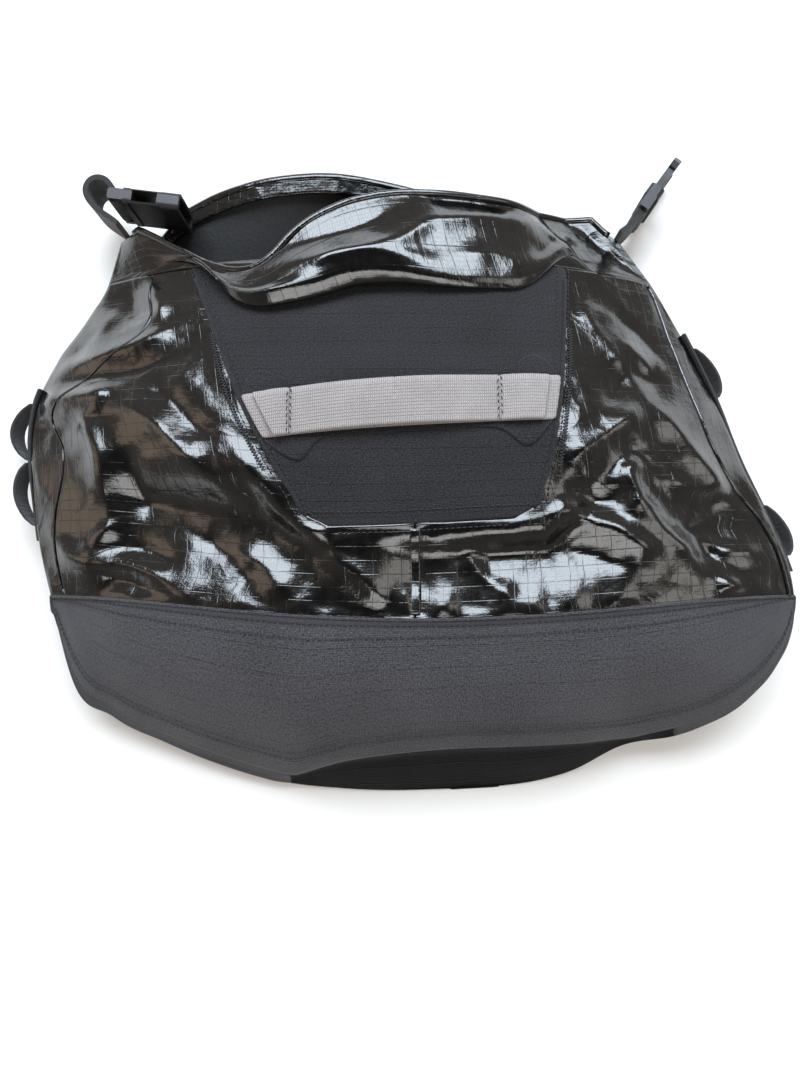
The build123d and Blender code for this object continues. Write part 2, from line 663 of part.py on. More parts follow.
def prong(side):
    """One spring arm, with its shoulder, in a plane of X and Z, on one side of the guide."""
    root = BAR_R + SLOT + 7.0 + PRONG_GAP
    tip = root + PRONG_LENGTH
    wide = BUCKLE_WIDTH / 2
    outline = [
        (root, wide - 5.6), (root + 9, wide - 4.8), (tip - 6, wide - 6.4), (tip, wide - 9.0),
        (tip - 0.6, wide - 7.0), (tip - 5.5, wide - 2.4), (tip - 10.5, wide - 1.0), (tip - 11.3, wide - 2.6),
        (root + 7, wide - 2.6), (root, wide - 3.2),
    ]
    face = Face(Wire.make_polygon([Vector(x, -2.3, side * z) for x, z in outline], close=True))
    arm = extrude(face, amount=4.6, dir=(0, 1, 0))
    return fillet(arm.edges().filter_by(Axis.Y), 0.25)


def make_plug_frame():
    start = BAR_R + SLOT
    half_z = BUCKLE_WIDTH / 2
    base = slab(start, start + 7.0, BUCKLE_THICK / 2 - 0.6, half_z)
    base = fillet(base.edges().filter_by(Axis.X), 2.6)
    guide = slab(start + 6, start + PRONG_LENGTH - 3, 1.7, 3.2)
    guide = chamfer(guide.edges().filter_by(Axis.Z), 0.8)
    base -= Pos(start + 4.5, BUCKLE_THICK / 2 - 0.6, 0) * Box(3.2, 2.0, half_z)
    base -= Pos(start + 4.5, -BUCKLE_THICK / 2 + 0.6, 0) * Box(3.2, 2.0, half_z)
    return base + guide + tail(start)


def make_closure():
    strap_left, end_left = tab(PATH_LEFT, ROOT_LEFT, TAB_LEFT_Z)
    strap_right, end_right = tab(PATH_RIGHT, ROOT_RIGHT, TAB_RIGHT_Z)
    save("tab_left", strap_left)
    save("tab_right", strap_right)
    left_half = Pos(end_left[0], end_left[1], TAB_LEFT_Z) * Rot(0, 0, AIM_LEFT)
    right_half = Pos(end_right[0], end_right[1], TAB_RIGHT_Z) * Rot(0, 0, AIM_RIGHT)
    save("buckle_female", left_half * make_socket())
    save("buckle_male", right_half * make_plug_frame())
    save("prong_upper", right_half * prong(1))
    save("prong_lower", right_half * prong(-1))


os.makedirs("parts", exist_ok=True)
make_front()
make_sides()
make_back()
make_base()
make_seams()
make_handle()
make_daisy_chains()
make_collar()
make_closure()
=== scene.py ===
import json
import math

import bmesh
import bpy
import numpy as np
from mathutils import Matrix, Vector, noise
from mathutils.bvhtree import BVHTree


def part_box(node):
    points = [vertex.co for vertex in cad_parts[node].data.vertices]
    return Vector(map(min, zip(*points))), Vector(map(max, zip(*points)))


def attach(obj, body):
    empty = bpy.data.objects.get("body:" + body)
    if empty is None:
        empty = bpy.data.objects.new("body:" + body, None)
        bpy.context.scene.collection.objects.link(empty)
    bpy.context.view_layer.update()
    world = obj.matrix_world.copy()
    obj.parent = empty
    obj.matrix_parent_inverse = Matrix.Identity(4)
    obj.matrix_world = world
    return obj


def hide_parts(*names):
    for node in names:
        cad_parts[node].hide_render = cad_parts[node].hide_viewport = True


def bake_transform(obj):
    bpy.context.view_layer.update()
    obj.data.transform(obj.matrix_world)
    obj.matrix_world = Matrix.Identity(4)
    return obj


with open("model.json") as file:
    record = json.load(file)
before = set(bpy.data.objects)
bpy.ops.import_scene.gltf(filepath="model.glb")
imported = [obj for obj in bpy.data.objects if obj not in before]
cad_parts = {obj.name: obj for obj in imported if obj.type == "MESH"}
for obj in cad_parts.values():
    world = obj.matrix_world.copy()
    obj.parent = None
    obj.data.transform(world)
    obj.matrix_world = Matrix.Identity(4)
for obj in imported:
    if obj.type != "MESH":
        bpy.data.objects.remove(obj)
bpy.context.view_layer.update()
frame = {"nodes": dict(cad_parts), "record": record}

MM = 0.001


def box_mm(node):
    """Lowest and highest corner of a CAD node, in millimetres."""
    low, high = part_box(node)
    return low / MM, high / MM


# ---------------------------------------------------------------- sizes, from the frame (mm)
BAND_LOW, BAND_HIGH = box_mm("base_band_front")
HALF = (BAND_HIGH.x - BAND_LOW.x) / 2
INSERT_LOW, INSERT_HIGH = box_mm("front_insert")
Y_FOLD = INSERT_HIGH.y
DEPTH = INSERT_HIGH.z
Y_LOW = box_mm("bottom_panel")[0].y
Y_SEAM = box_mm("back_panel")[0].y - 6
Y_RIM = box_mm("collar_back")[1].y
Y_TUCK = Y_FOLD + 14  # the seam between insert and collar, hidden under the collar's lip
Y_CORNER = box_mm("collar_side_left")[1].y - 3
BASE = Y_SEAM - Y_LOW
BODY = Y_FOLD - Y_SEAM
CLOTH = 0.9  # shown thickness of the fabric
RIM_LEFT, RIM_RIGHT = -164, 108  # X between which the front rim follows its own curve
CORNER_IN_LEFT, CORNER_IN_RIGHT = 5, 4  # the mouth's corners inside the outline
CREASE_SCALE = 108  # the length that the crease's shares belong to
BOTTOM_FROM, BOTTOM_TO = -78, 150  # X of the part of the foot that is the bottom panel, painted darker as shade under the band's overhang
WEBBING, WEB_THICK = 25.0, 1.5
HANDLE_FROM, HANDLE_TO = -95, 75  # X near the seams that hold the handle
UNDER_LIFT, STRAP_LIFT = 2.0, 3.8  # the handle's two layers above the insert
HALVES_OVERLAP = 0.4


# ---------------------------------------------------------------- curves and outlines
def unit(value):
    """Holds a number or an array between 0 and 1."""
    return np.clip(value, 0, 1)


def curve(points):
    """Smooth curve through (position, value) points, as a function of numbers or arrays."""
    xs = np.array([p[0] for p in points], float)
    ys = np.array([p[1] for p in points], float)
    slopes = np.gradient(ys, xs)
    dense = np.linspace(xs[0], xs[-1], 400)
    i = np.clip(np.searchsorted(xs, dense, side="right") - 1, 0, len(xs) - 2)
    w = xs[i + 1] - xs[i]
    t = (dense - xs[i]) / w
    value = (2 * t**3 - 3 * t**2 + 1) * ys[i] + (t**3 - 2 * t**2 + t) * w * slopes[i]
    value += (3 * t**2 - 2 * t**3) * ys[i + 1] + (t**3 - t**2) * w * slopes[i + 1]
    return lambda at: np.interp(at, dense, value)


# Outlines as (station, share of HALF): station -1 is the base's lowest edge, 0 the base seam,
# 1 the fold line and 2 the top of the back rim.
left_share = curve([(-0.35, -0.95), (0, -0.985), (0.2, -1.035), (0.5, -1.08), (0.68, -1.07),
                    (0.83, -1.01), (0.95, -0.94), (1.06, -0.885), (1.3, -0.872), (2, -0.87)])
right_share = curve([(-0.3, 0.95), (0, 1.01), (0.15, 1.0), (0.45, 0.91), (0.65, 0.856), (0.8, 0.8),
                     (1, 0.715), (1.15, 0.64), (1.3, 0.575), (1.5, 0.515), (2, 0.47)])
left_seam_in = curve([(0, 9), (0.25, 14), (0.5, 26), (0.62, 16), (0.75, 40), (0.88, 56), (1, 40),
                      (1.3, 17), (2, 12)])
right_seam_in = curve([(0, 3), (0.25, 8), (0.5, 19), (0.85, 13), (1, 6), (2, 3)])
left_edge_z = curve([(-0.4, 28), (0, 34), (0.4, 26), (2, 22)])
right_edge_z = curve([(-0.4, 42), (0, 46), (0.35, 36), (0.6, 28), (2, 26)])
centre_z = curve([(0, 0.93), (0.2, 0.955), (0.38, 0.985), (0.52, 1.0), (0.65, 0.97), (0.8, 0.875),
                  (1, 0.74), (1.5, 0.58), (2, 0.46)])
base_edge = curve([(-0.985, -0.02), (-0.95, -0.33), (-0.84, -0.58), (-0.7, -0.727), (-0.55, -0.852),
                   (-0.36, -0.962), (-0.2, -1.0), (0.14, -1.0), (0.36, -0.955), (0.45, -0.9),
                   (0.58, -0.76), (0.76, -0.64), (0.9, -0.46), (0.965, -0.29), (1.0, -0.12),
                   (1.01, -0.02)])
base_edge_z = curve([(-0.985, 33), (-0.95, 28), (-0.84, 21), (-0.55, 13), (-0.2, 8), (0.4, 8),
                     (0.58, 16), (0.75, 30), (0.96, 42), (1.01, 46)])
crease = curve([(-120, -0.2), (-90, 0.0), (-75, 0.08), (-65, 0.13), (-44, 0.21), (-8, 0.27),
                (59, 0.305), (105, 0.315), (140, 0.32), (160, 0.33), (200, 0.36)])
insert_left_share = curve([
    (0, -0.21), (0.03, -0.262), (0.1, -0.3), (1, -0.61)])
insert_right_share = curve([
    (0, 0.24), (0.03, 0.285), (0.12, 0.315), (0.4, 0.36), (1, 0.41)])
# The collar, as (X in mm, Y in mm above the fold line).
front_rim = curve([(-164, 42), (-152, 35), (-139, 27), (-119, 15), (-102, 8), (-90, 8), (-80, 14),
                   (-70, 25), (-43, 42), (-19, 49), (14, 52), (50, 52), (85, 53), (108, 54)])
back_rim = curve([(-168, 38), (-158, 50), (-145, 63), (-131, 69), (-100, 76), (-69, 78.5), (-39, 77),
                  (-3, 71), (39, 61), (63, 58), (87, 58), (112, 58)])
lip_line = curve([(-150, 27), (-127, 16), (-117, 8), (-100, -8), (-84, -10), (-69, -7), (-46, -1),
                  (-30, 3), (-5, 4), (27, 0), (50, -3), (66, -4), (77, 3), (90, 16), (102, 34)])
lip_size = curve([(-152, 0), (-128, 0.45), (-104, 1), (60, 1), (82, 0.8), (104, 0)])


def station(y):
    return np.where(y < Y_SEAM, (y - Y_SEAM) / BASE, (y - Y_SEAM) / BODY)


def seam_y(x):
    """The base seam, which dips at the centre."""
    return Y_SEAM + 7 - 12 * (1 - np.minimum(1, (x / HALF) ** 2)) ** 2


def left(y):
    return HALF * left_share(station(y))


def right(y):
    return HALF * right_share(station(y))


def top(x, y):
    """Smooth height of the bag's front, before folds."""
    a, b = left(y), right(y)
    u = (2 * x - a - b) / (b - a)
    edge = np.where(u < 0, left_edge_z(station(y)), right_edge_z(station(y)))
    centre = DEPTH * centre_z(station(y))
    return edge + (centre - edge) * (1 - np.minimum(1, np.abs(u)) ** 2.4)


def base_top(x, y):
    low, high = Y_SEAM + BASE * base_edge(x / HALF), seam_y(x)
    w = unit((y - low) / np.maximum(high - low, 0.01))
    edge = base_edge_z(x / HALF)
    z = edge + (top(x, high) - edge) * (1 - (1 - w) ** 2.2)
    # the band's lower edge juts over the bottom panel along the middle
    past = Y_LOW + CREASE_SCALE * crease(x) - y - 0.5
    fade = unit((x + 104) / 60) * unit((150 - x) / 22)
    under = 7.0 * unit(past / 2.2) * np.exp(-np.clip(past, 0, None) / 60)
    return z - fade * (under - 2.2 * np.exp(-((past + 2) / 4) ** 2))


# ---------------------------------------------------------------- folds
COLLAR_FOLDS = [
    (5, 7, [(-82, 142), (-58, 144), (-36, 148), (-10, 156), (8, 170), (40, 176), (66, 178)]),
    (-4, 8, [(-84, 156), (-60, 158), (-34, 164), (-14, 176)]),
    (5, 6, [(-92, 143), (-88, 154), (-80, 166), (-62, 180), (-40, 190)]),
    (3, 6, [(-60, 139), (-40, 150), (-16, 149), (10, 144)]),
    (3, 6, [(24, 150), (46, 152), (66, 146)]),
    (-4, 7, [(0, 186), (30, 186), (62, 184)]),
    (5, 6, [(96, 176), (86, 164), (76, 150), (68, 142)]),
    (-4, 6, [(84, 174), (76, 164), (66, 154)]),
]
# Each fold is (height, width, [(x, y), ...]) in mm: a soft crest, or a crease where the height is negative.
FOLDS = [
    (9, 10, [(-134, 112), (-160, 103), (-184, 98), (-212, 96)]),
    (-9, 12, [(-128, 96), (-160, 88), (-190, 86), (-215, 88)]),
    (10, 9, [(-226, 77), (-196, 76), (-168, 77)]),
    (9, 12, [(-176, 77), (-157, 68), (-140, 55), (-118, 32), (-100, 17), (-83, 8), (-60, 4)]),
    (-6, 10, [(-150, 82), (-128, 64), (-110, 44)]),
    (-5, 9, [(-176, 63), (-205, 58), (-226, 66)]),
    (8, 7, [(-176, 74), (-187, 62), (-178, 45), (-174, 24), (-168, 2), (-160, -8)]),
    (-6, 9, [(-160, 48), (-152, 24), (-146, 4)]),
    (7, 6, [(-208, -2), (-196, -14), (-184, -20), (-160, -20), (-140, -27), (-128, -38)]),
    (6, 5, [(-186, -19), (-178, -6), (-166, 4)]),
    (-6, 6, [(-176, -27), (-158, -30), (-142, -36)]),
    (-5, 6, [(-172, -10), (-150, -12), (-128, -22)]),
    (5, 7, [(-100, -12), (-80, -22), (-66, -40)]),
    (6, 9, [(-92, 44), (-84, 24), (-72, 4), (-52, -8)]),
    (5, 8, [(-52, -12), (-30, -26), (-14, -44)]),
    (-5, 8, [(-120, -4), (-96, -18), (-84, -36)]),
    (5, 6, [(24, -12), (34, -26), (52, -40)]),
    (8, 11, [(129, 70), (108, 53), (86, 38), (79, 31)]),
    (7, 8, [(129, 70), (146, 55), (158, 40), (181, 16)]),
    (-7, 11, [(150, 84), (120, 88), (100, 60)]),
    (-6, 9, [(128, 46), (110, 34), (96, 22), (84, 18)]),
    (9, 7, [(124, 40), (114, 30), (119, 17), (119, 4)]),
    (-8, 8, [(104, 26), (106, 12), (92, 14), (76, 18)]),
    (9, 6, [(119, 17), (134, -2), (147, -12), (154, -22)]),
    (-6, 6, [(142, 4), (156, -6), (166, -20)]),
    (9, 8, [(70, 10), (92, 3), (106, -1), (121, -11), (135, -14)]),
    (-5, 7, [(76, -12), (98, -16), (116, -24)]),
    (6, 7, [(134, 26), (159, 21), (180, 26)]),
    (6, 6, [(150, -4), (172, -12), (196, -14)]),
    (6, 5, [(164, -26), (176, -34), (192, -26)]),
    (5, 9, [(94, 134), (101, 114), (118, 91), (128, 78)]),
    (5, 8, [(116, 108), (131, 97), (138, 84)]),
    (-4, 8, [(112, 128), (132, 112), (146, 98)]),
    (6, 8, [(-168, 168), (-156, 146), (-146, 128), (-143, 114)]),
    (-6, 10, [(-172, 150), (-166, 130), (-160, 116)]),
    (-5, 7, [(-186, 120), (-196, 108), (-206, 104)]),
    (4, 7, [(-176, 132), (-186, 116), (-200, 104)]),
]


def crest(x, y, height, width, points):
    """A fold along a line of points, sharp on its crest and fading at both ends."""
    best = np.full(x.shape, 1e9)
    place = np.zeros(x.shape)
    spans = [math.dist(p, q) for p, q in zip(points, points[1:])]
    done = 0.0
    for (x0, y0), (x1, y1), span in zip(points, points[1:], spans):
        t = unit(((x - x0) * (x1 - x0) + (y - y0) * (y1 - y0)) / span**2)
        d = np.hypot(x - x0 - t * (x1 - x0), y - y0 - t * (y1 - y0))
        nearer = d < best
        place = np.where(nearer, (done + t * span) / sum(spans), place)
        best = np.where(nearer, d, best)
        done += span
    soft = 1.3
    fade = unit(place / 0.25) * unit((1 - place) / 0.25)
    fade = 0.25 + 0.75 * fade * fade * (3 - 2 * fade)
    return height * fade * np.exp(-(np.hypot(best, soft) - soft) / width)


def wander(x, y, size, seed, stretch=1.0):
    """Seeded noise between about -1 and 1 over a place in mm."""
    flat = [noise.noise(Vector((a / size, b * stretch / size, seed))) for a, b in zip(x.ravel(), y.ravel())]
    return 1.6 * np.array(flat).reshape(x.shape)


def glossy_folds(x, y):
    """Height that the crumpled laminate adds to the smooth front."""
    z = sum(crest(x, y, *fold) for fold in FOLDS) * 0.72
    z += 2.4 * (0.4 - np.abs(wander(x, y, 62, 3.1)))
    z += 0.9 * (0.35 - np.abs(wander(x + 0.6 * y, y - 0.4 * x, 26, 7.7)))
    return z


def puckers(x, away, size, seed):
    """Ripples that run off a seam and fade in a few centimetres."""
    return 1.6 * wander(x, np.zeros_like(x), size, seed) * np.exp(-away / 13) * unit(away / 4)


# ---------------------------------------------------------------- the skin: one grid, cut into panels later
COLUMNS = [("under_left", 6), ("gusset_left", 12), ("left", 40), ("insert", 52), ("right", 40),
           ("gusset_right", 8), ("under_right", 6)]
ROWS = [("foot", 6), ("base", 32), ("low", 22), ("high", 56), ("collar", 34)]
C0 = {}
R0 = {}
for table, starts in ((COLUMNS, C0), (ROWS, R0)):
    at = 0
    for name, count in table:
        starts[name] = at
        at += count
    starts["end"] = at
NC, NR = C0["end"] + 1, R0["end"] + 1
CREASE_ROWS = 9  # rows of the base below the crease to the bottom panel
BASE_ROW, LOW, HIGH, COLLAR = (R0[name] for name in ("base", "low", "high", "collar"))
CREASE = BASE_ROW + CREASE_ROWS
EDGE_A, EDGE_B = C0["gusset_left"], C0["under_right"]
FOOT_SHARE = (0 - seam_y(0)) / (Y_TUCK - seam_y(0))
SAGS = [(11.5, -106, 52), (9, 44, 38), (6, 168, 24)]  # depth, X and width of the hollows above the base seam


def row_xs(y_of, foot_row, high_share):
    """X of every column on a row, given the row's Y at an X, from silhouette to silhouette."""
    ya, yb = y_of(-HALF), y_of(HALF)
    a, b = left(ya), right(yb)
    sa = a + left_seam_in(station(y_of(a)))
    sb = b - right_seam_in(station(y_of(b)))
    share = high_share if foot_row else 0.0
    ia, ib = HALF * insert_left_share(share), HALF * insert_right_share(share)
    counts = dict(COLUMNS)
    stops = [(a, sa, counts["gusset_left"]), (sa, ia, counts["left"]), (ia, ib, counts["insert"]),
             (ib, sb, counts["right"]), (sb, b, counts["gusset_right"])]
    xs = [a]
    for p, q, count in stops:
        xs += list(np.linspace(p, q, count + 1)[1:])
    return np.array(xs)


def make_skin():
    """Grid of places in mm, [row, column, xyz]."""
    skin = np.zeros((NR, NC, 3))
    mid = slice(EDGE_A, EDGE_B + 1)

    # body rows, from the base seam to the tuck
    for i in range(LOW, COLLAR + 1):
        low = i <= HIGH
        first, last = ("low", "high") if low else ("high", "collar")
        part = (i - R0[first]) / (R0[last] - R0[first])
        share = FOOT_SHARE * part if low else FOOT_SHARE + (1 - FOOT_SHARE) * part
        lean = 0.06 * (part if low else (1 - part) ** 3)

        def y_of(x, share=share, lean=lean):
            return seam_y(x) + (Y_TUCK - seam_y(x)) * share + lean * x * np.exp(-((x / 95) ** 2))

        xs = row_xs(y_of, not low, part)
        ys = y_of(xs)
        skin[i, mid] = np.stack([xs, ys, top(xs, ys)], 1)

    # base rows, from the seam down to the lowest edge: columns fan out round the corners
    seam_row = skin[LOW, mid].copy()
    edge_x = np.linspace(seam_row[0, 0], seam_row[-1, 0], 600)
    edge_y = Y_SEAM + BASE * base_edge(edge_x / HALF)
    edge_y[0], edge_y[-1] = seam_row[0, 1], seam_row[-1, 1]
    along = np.concatenate([[0], np.cumsum(np.hypot(np.diff(edge_x), np.diff(edge_y)))])
    across = (seam_row[:, 0] - seam_row[0, 0]) / (seam_row[-1, 0] - seam_row[0, 0])
    low_x = np.interp(across * along[-1], along, edge_x)
    low_y = np.interp(across * along[-1], along, edge_y)
    rows = LOW - BASE_ROW
    at_crease = (Y_LOW + CREASE_SCALE * crease(low_x) - low_y) / (seam_row[:, 1] - low_y)
    at_crease = np.clip(at_crease, 0.07, 0.4)
    for i in range(BASE_ROW, LOW):
        k = i - BASE_ROW
        above = max(k - CREASE_ROWS, 0) / (rows - CREASE_ROWS)
        t = at_crease * min(k / CREASE_ROWS, 1) + (1 - at_crease) * above
        xs = low_x + (seam_row[:, 0] - low_x) * t
        ys = low_y + (seam_row[:, 1] - low_y) * t
        skin[i, mid] = np.stack([xs, ys, base_top(xs, ys)], 1)

    # collar rows: out from the tuck, over the lip, and up to the rim
    tuck_row = skin[COLLAR, mid].copy()
    count = R0["end"] - COLLAR
    x0 = tuck_row[:, 0]
    seams = [x0[C0[name] - EDGE_A] for name in ("left", "gusset_right")]
    corner_a, corner_b = left(Y_CORNER), right(Y_CORNER)
    ends = np.interp(x0, [x0[0], *seams, x0[-1]],
                     [corner_a + CORNER_IN_LEFT, RIM_LEFT, RIM_RIGHT, corner_b - CORNER_IN_RIGHT])
    rim = Y_FOLD + front_rim(ends)
    slope_a = np.interp(ends, [corner_a, RIM_LEFT], [Y_CORNER, Y_FOLD + 42])
    slope_b = np.interp(ends, [RIM_RIGHT, RIM_RIGHT + 8, corner_b], [Y_FOLD + 54, Y_FOLD + 46, Y_CORNER - 2])
    rim = np.where(ends < RIM_LEFT, slope_a, np.where(ends > RIM_RIGHT, slope_b, rim))
    size = lip_size(x0)
    lip = Y_FOLD + lip_line(x0)
    z0 = tuck_row[:, 2]
    z_rim = top(ends, np.minimum(rim, Y_FOLD + 70)) - 2 + 5 * lip_size(ends)
    z_lip = top(x0, np.maximum(lip, Y_FOLD - 9))
    stops = (0, 0.1, 0.2, 0.32, 0.6, 1)
    plain_y = [Y_TUCK + (rim - Y_TUCK) * s for s in stops]
    folded_y = [np.full_like(x0, Y_TUCK), lip + 8, lip, lip + 3.5, lip + 0.42 * (rim - lip), rim]
    folded_z = [z0, z_lip + 1.0, z_lip + 3.0, z_lip + 6.0, 0.5 * (z_lip + z_rim) + 5.5, z_rim]
    plain_z = [top(x0, y) for y in plain_y]
    for i in range(COLLAR + 1, R0["end"] + 1):
        v = (i - COLLAR) / count
        ys, zs = np.zeros_like(x0), np.zeros_like(x0)
        for j in range(len(x0)):
            ky = [size[j] * f[j] + (1 - size[j]) * p[j] for f, p in zip(folded_y, plain_y)]
            kz = [size[j] * f[j] + (1 - size[j]) * p[j] for f, p in zip(folded_z, plain_z)]
            ys[j], zs[j] = curve(list(zip(stops, ky)))(v), curve(list(zip(stops, kz)))(v)
        xs = x0 + (ends - x0) * v
        skin[i, mid] = np.stack([xs, ys, zs], 1)

    add_folds(skin, mid)
    add_walls(skin)
    return skin


def add_folds(skin, mid):
    """Crumples the glossy parts, and leaves the insert and the base nearly smooth."""
    g = skin[:, mid]
    x, y = g[..., 0], g[..., 1]
    cols = np.arange(g.shape[1])
    rows = np.arange(NR)[:, None]
    a, b = C0["insert"] - EDGE_A, C0["right"] - EDGE_A
    from_insert = np.maximum(a - cols, cols - b)[None, :].astype(float)
    above_foot = rows >= HIGH
    inside = (from_insert <= 0) & above_foot & (rows <= COLLAR)
    gap = np.where(above_foot, unit(from_insert / 5), unit((HIGH - rows) / 4))
    gap = np.where((rows > COLLAR) | ~above_foot & (from_insert > 0), 1.0, gap)
    seam = unit((rows - LOW) / 3.0)
    edge = unit(np.minimum(cols, cols[::-1]) / 3.0)[None, :]
    amount = np.where(inside, 0.0, gap) * seam * (0.35 + 0.65 * edge)
    body = rows <= COLLAR
    z = glossy_folds(x, y) * amount * np.clip((COLLAR + 2 - rows) / 8, 0.2, 1)
    on_flap = (rows > COLLAR + 6) & (rows < NR - 1)
    z += sum(crest(x, y, *fold) for fold in COLLAR_FOLDS) * 0.8 * on_flap
    z += puckers(x, y - seam_y(x), 15, 1.3) * amount * (y > seam_y(x)) * body * 1.6
    side = np.where(cols < a, x[:, a][:, None] - x, x - x[:, b][:, None])
    z += puckers(y, np.maximum(side, 0), 13, 5.2) * amount * above_foot * body
    # the laminate sags just above the base seam, deeper in some places
    off = y - seam_y(x)
    reach = 46 + 30 * unit((np.abs(x - 8) - 62) / 30)
    hang = curve([(0, 0), (0.06, 0.06), (0.6, 0.94), (0.72, 1), (0.95, 0.1), (1, 0), (1.2, 0)])
    sag = hang(np.clip(off / reach, 0, 1.2))
    deep = sum(depth * np.exp(-((x - middle) / width) ** 2) for depth, middle, width in SAGS)
    deep += 2.0 + 3.0 * wander(x + 0.3 * y, 0.25 * y, 34, 6.6)
    z -= sag * np.maximum(deep, 0) * amount * (off > 0) * unit((200 - np.abs(x)) / 30)
    # the centre seam pulls a shallow valley
    below = (rows < HIGH) & (rows > LOW)
    z -= 2.2 * np.exp(-np.abs(x) / 6) * below
    # the insert and the base: broad, low waves
    z += np.where(inside, 0.9 * wander(x, y, 60, 9.4) - 1.3 * np.exp(-np.abs(y - 96) / 9), 0)
    base = rows < LOW
    level = unit((LOW - rows) / 6) * np.clip(rows - BASE_ROW, 0, 4) / 4
    z += np.where(base, level * (2.2 * wander(x, y, 70, 12.5) + 0.9 * wander(x, y, 30, 2.5, 0.6)), 0)
    g[..., 2] += z


def add_walls(skin):
    """Side walls and foot: from the silhouette down and in to the resting back."""
    steps = np.linspace(0, 1, dict(COLUMNS)["under_left"] + 1)
    for side, edge_col in ((-1, EDGE_A), (1, EDGE_B)):
        for i in range(LOW, NR):
            swell = min(1.0, max(0.0, (COLLAR + 6 - i) / 12))
            p = skin[i, edge_col].copy()
            for k, t in enumerate(steps):
                col = edge_col + side * k
                bulge = 3.0 * swell * math.sin(math.pi * t) - 14 * t**2.2
                z = p[2] * (1 - t) ** 0.9 + 0.8 * t
                wave = 1.2 * noise.noise(Vector((p[1] / 17, t * 1.4, side * 4.0))) * math.sin(math.pi * t)
                skin[i, col] = (p[0] + side * (bulge + wave), p[1], max(0.8, z))
    edge = skin[BASE_ROW].copy()
    foot_rows = BASE_ROW - R0["foot"]
    cols = list(range(EDGE_A, EDGE_B + 1))
    for n, col in enumerate(cols):
        before, after = edge[cols[max(n - 1, 0)]], edge[cols[min(n + 1, len(cols) - 1)]]
        d = Vector((after[0] - before[0], after[1] - before[1], 0))
        inward = Vector((-d.y, d.x, 0)).normalized() if d.length > 1e-6 else Vector((0, 1, 0))
        if n in (0, len(cols) - 1):
            inward = Vector((1 if n == 0 else -1, 0, 0))
        for k in range(1, foot_rows + 1):
            t = k / foot_rows
            shift = -1.5 * math.sin(math.pi * t) + 14 * t**2.2
            z = max(0.8, edge[col][2] * (1 - t) ** 0.9 + 0.8 * t)
            skin[BASE_ROW - k, col] = (edge[col][0] + inward.x * shift, edge[col][1] + inward.y * shift, z)


# ---------------------------------------------------------------- meshes
def link(mesh, name):
    obj = bpy.data.objects.new(name, mesh)
    bpy.context.scene.collection.objects.link(obj)
    return obj


def apply_modifiers(obj):
    bpy.context.view_layer.update()
    mesh = bpy.data.meshes.new_from_object(obj.evaluated_get(bpy.context.evaluated_depsgraph_get()))
    obj.modifiers.clear()
    obj.data = mesh
    mesh.name = obj.name
    return obj


def mesh_piece(name, points, faces, uvs=None, material=None, smooth=True):
    """Mesh from points in mm; uvs are one (u, v) in mm for each point."""
    mesh = bpy.data.meshes.new(name)
    mesh.from_pydata([[c * MM for c in p] for p in points], [], faces)
    if uvs is not None:
        layer = mesh.uv_layers.new(name="cut")
        for loop in mesh.loops:
            u, v = uvs[loop.vertex_index]
            layer.data[loop.index].uv = (u * MM, v * MM)
    mesh.validate()
    if smooth:
        mesh.shade_smooth()
    obj = link(mesh, name)
    if material:
        mesh.materials.append(material)
    return obj


def grid_piece(name, grid, keep=None, cut=None, material=None, thickness=CLOTH, levels=1, offset=-1.0):
    """Piece from a [row, column, xyz] grid. keep(i, j) chooses cells; cut holds flat places for the weave."""
    rows, cols = grid.shape[:2]
    index, points, uvs, faces = {}, [], [], []

    def vertex(i, j):
        if (i, j) not in index:
            index[(i, j)] = len(points)
            points.append(grid[i, j])
            uvs.append(cut[i, j] if cut is not None else (grid[i, j][0], grid[i, j][1]))
        return index[(i, j)]

    for i in range(rows - 1):
        for j in range(cols - 1):
            if keep is None or keep(i, j):
                faces.append((vertex(i, j), vertex(i, j + 1), vertex(i + 1, j + 1), vertex(i + 1, j)))
    obj = mesh_piece(name, points, faces, uvs, material)
    bm = bmesh.new()
    bm.from_mesh(obj.data)
    bmesh.ops.remove_doubles(bm, verts=bm.verts, dist=2e-6)
    bmesh.ops.dissolve_degenerate(bm, edges=bm.edges, dist=2e-6)
    bm.to_mesh(obj.data)
    bm.free()
    if levels:
        obj.modifiers.new("Subdivision", "SUBSURF").levels = levels
    if thickness:
        solid = obj.modifiers.new("Solidify", "SOLIDIFY")
        solid.thickness = thickness * MM
        solid.offset = offset
        solid.use_even_offset = False
    return apply_modifiers(obj)


def hand_over(obj, slot, *nodes, body="bag"):
    """The body that a piece rides, its material slot, which is not used, and the CAD nodes that it stands
    for.
    """
    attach(obj, body)
    if nodes:
        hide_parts(*nodes)


def bend_at_tuck(obj, *nodes):
    """A collar piece: its place is baked into its mesh, and the CAD nodes that it stands for are hidden."""
    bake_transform(obj)
    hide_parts(*nodes)


def ring_faces(base, rings, sides):
    """Faces of a closed tube whose rings of points follow one another from an index."""
    faces = []
    for k in range(rings - 1):
        for s in range(sides):
            a, b = base + k * sides + s, base + k * sides + (s + 1) % sides
            faces.append((a, b, b + sides, a + sides))
    faces.append(tuple(base + s for s in reversed(range(sides))))
    faces.append(tuple(base + (rings - 1) * sides + s for s in range(sides)))
    return faces


def flat_places(skin):
    """The cloth laid flat: distance along each row and column of the grid, for the weave."""
    step = np.linalg.norm(np.diff(skin, axis=1), axis=2)
    middle = skin.shape[1] // 2
    across = np.concatenate([np.zeros((NR, 1)), np.cumsum(step, axis=1)], axis=1)
    across -= across[:, middle][:, None]
    rise = np.linalg.norm(np.diff(skin, axis=0), axis=2)
    up = np.concatenate([[0], np.cumsum(rise.mean(axis=1))])
    return np.stack([across, np.repeat(up[:, None], NC, axis=1)], axis=2)


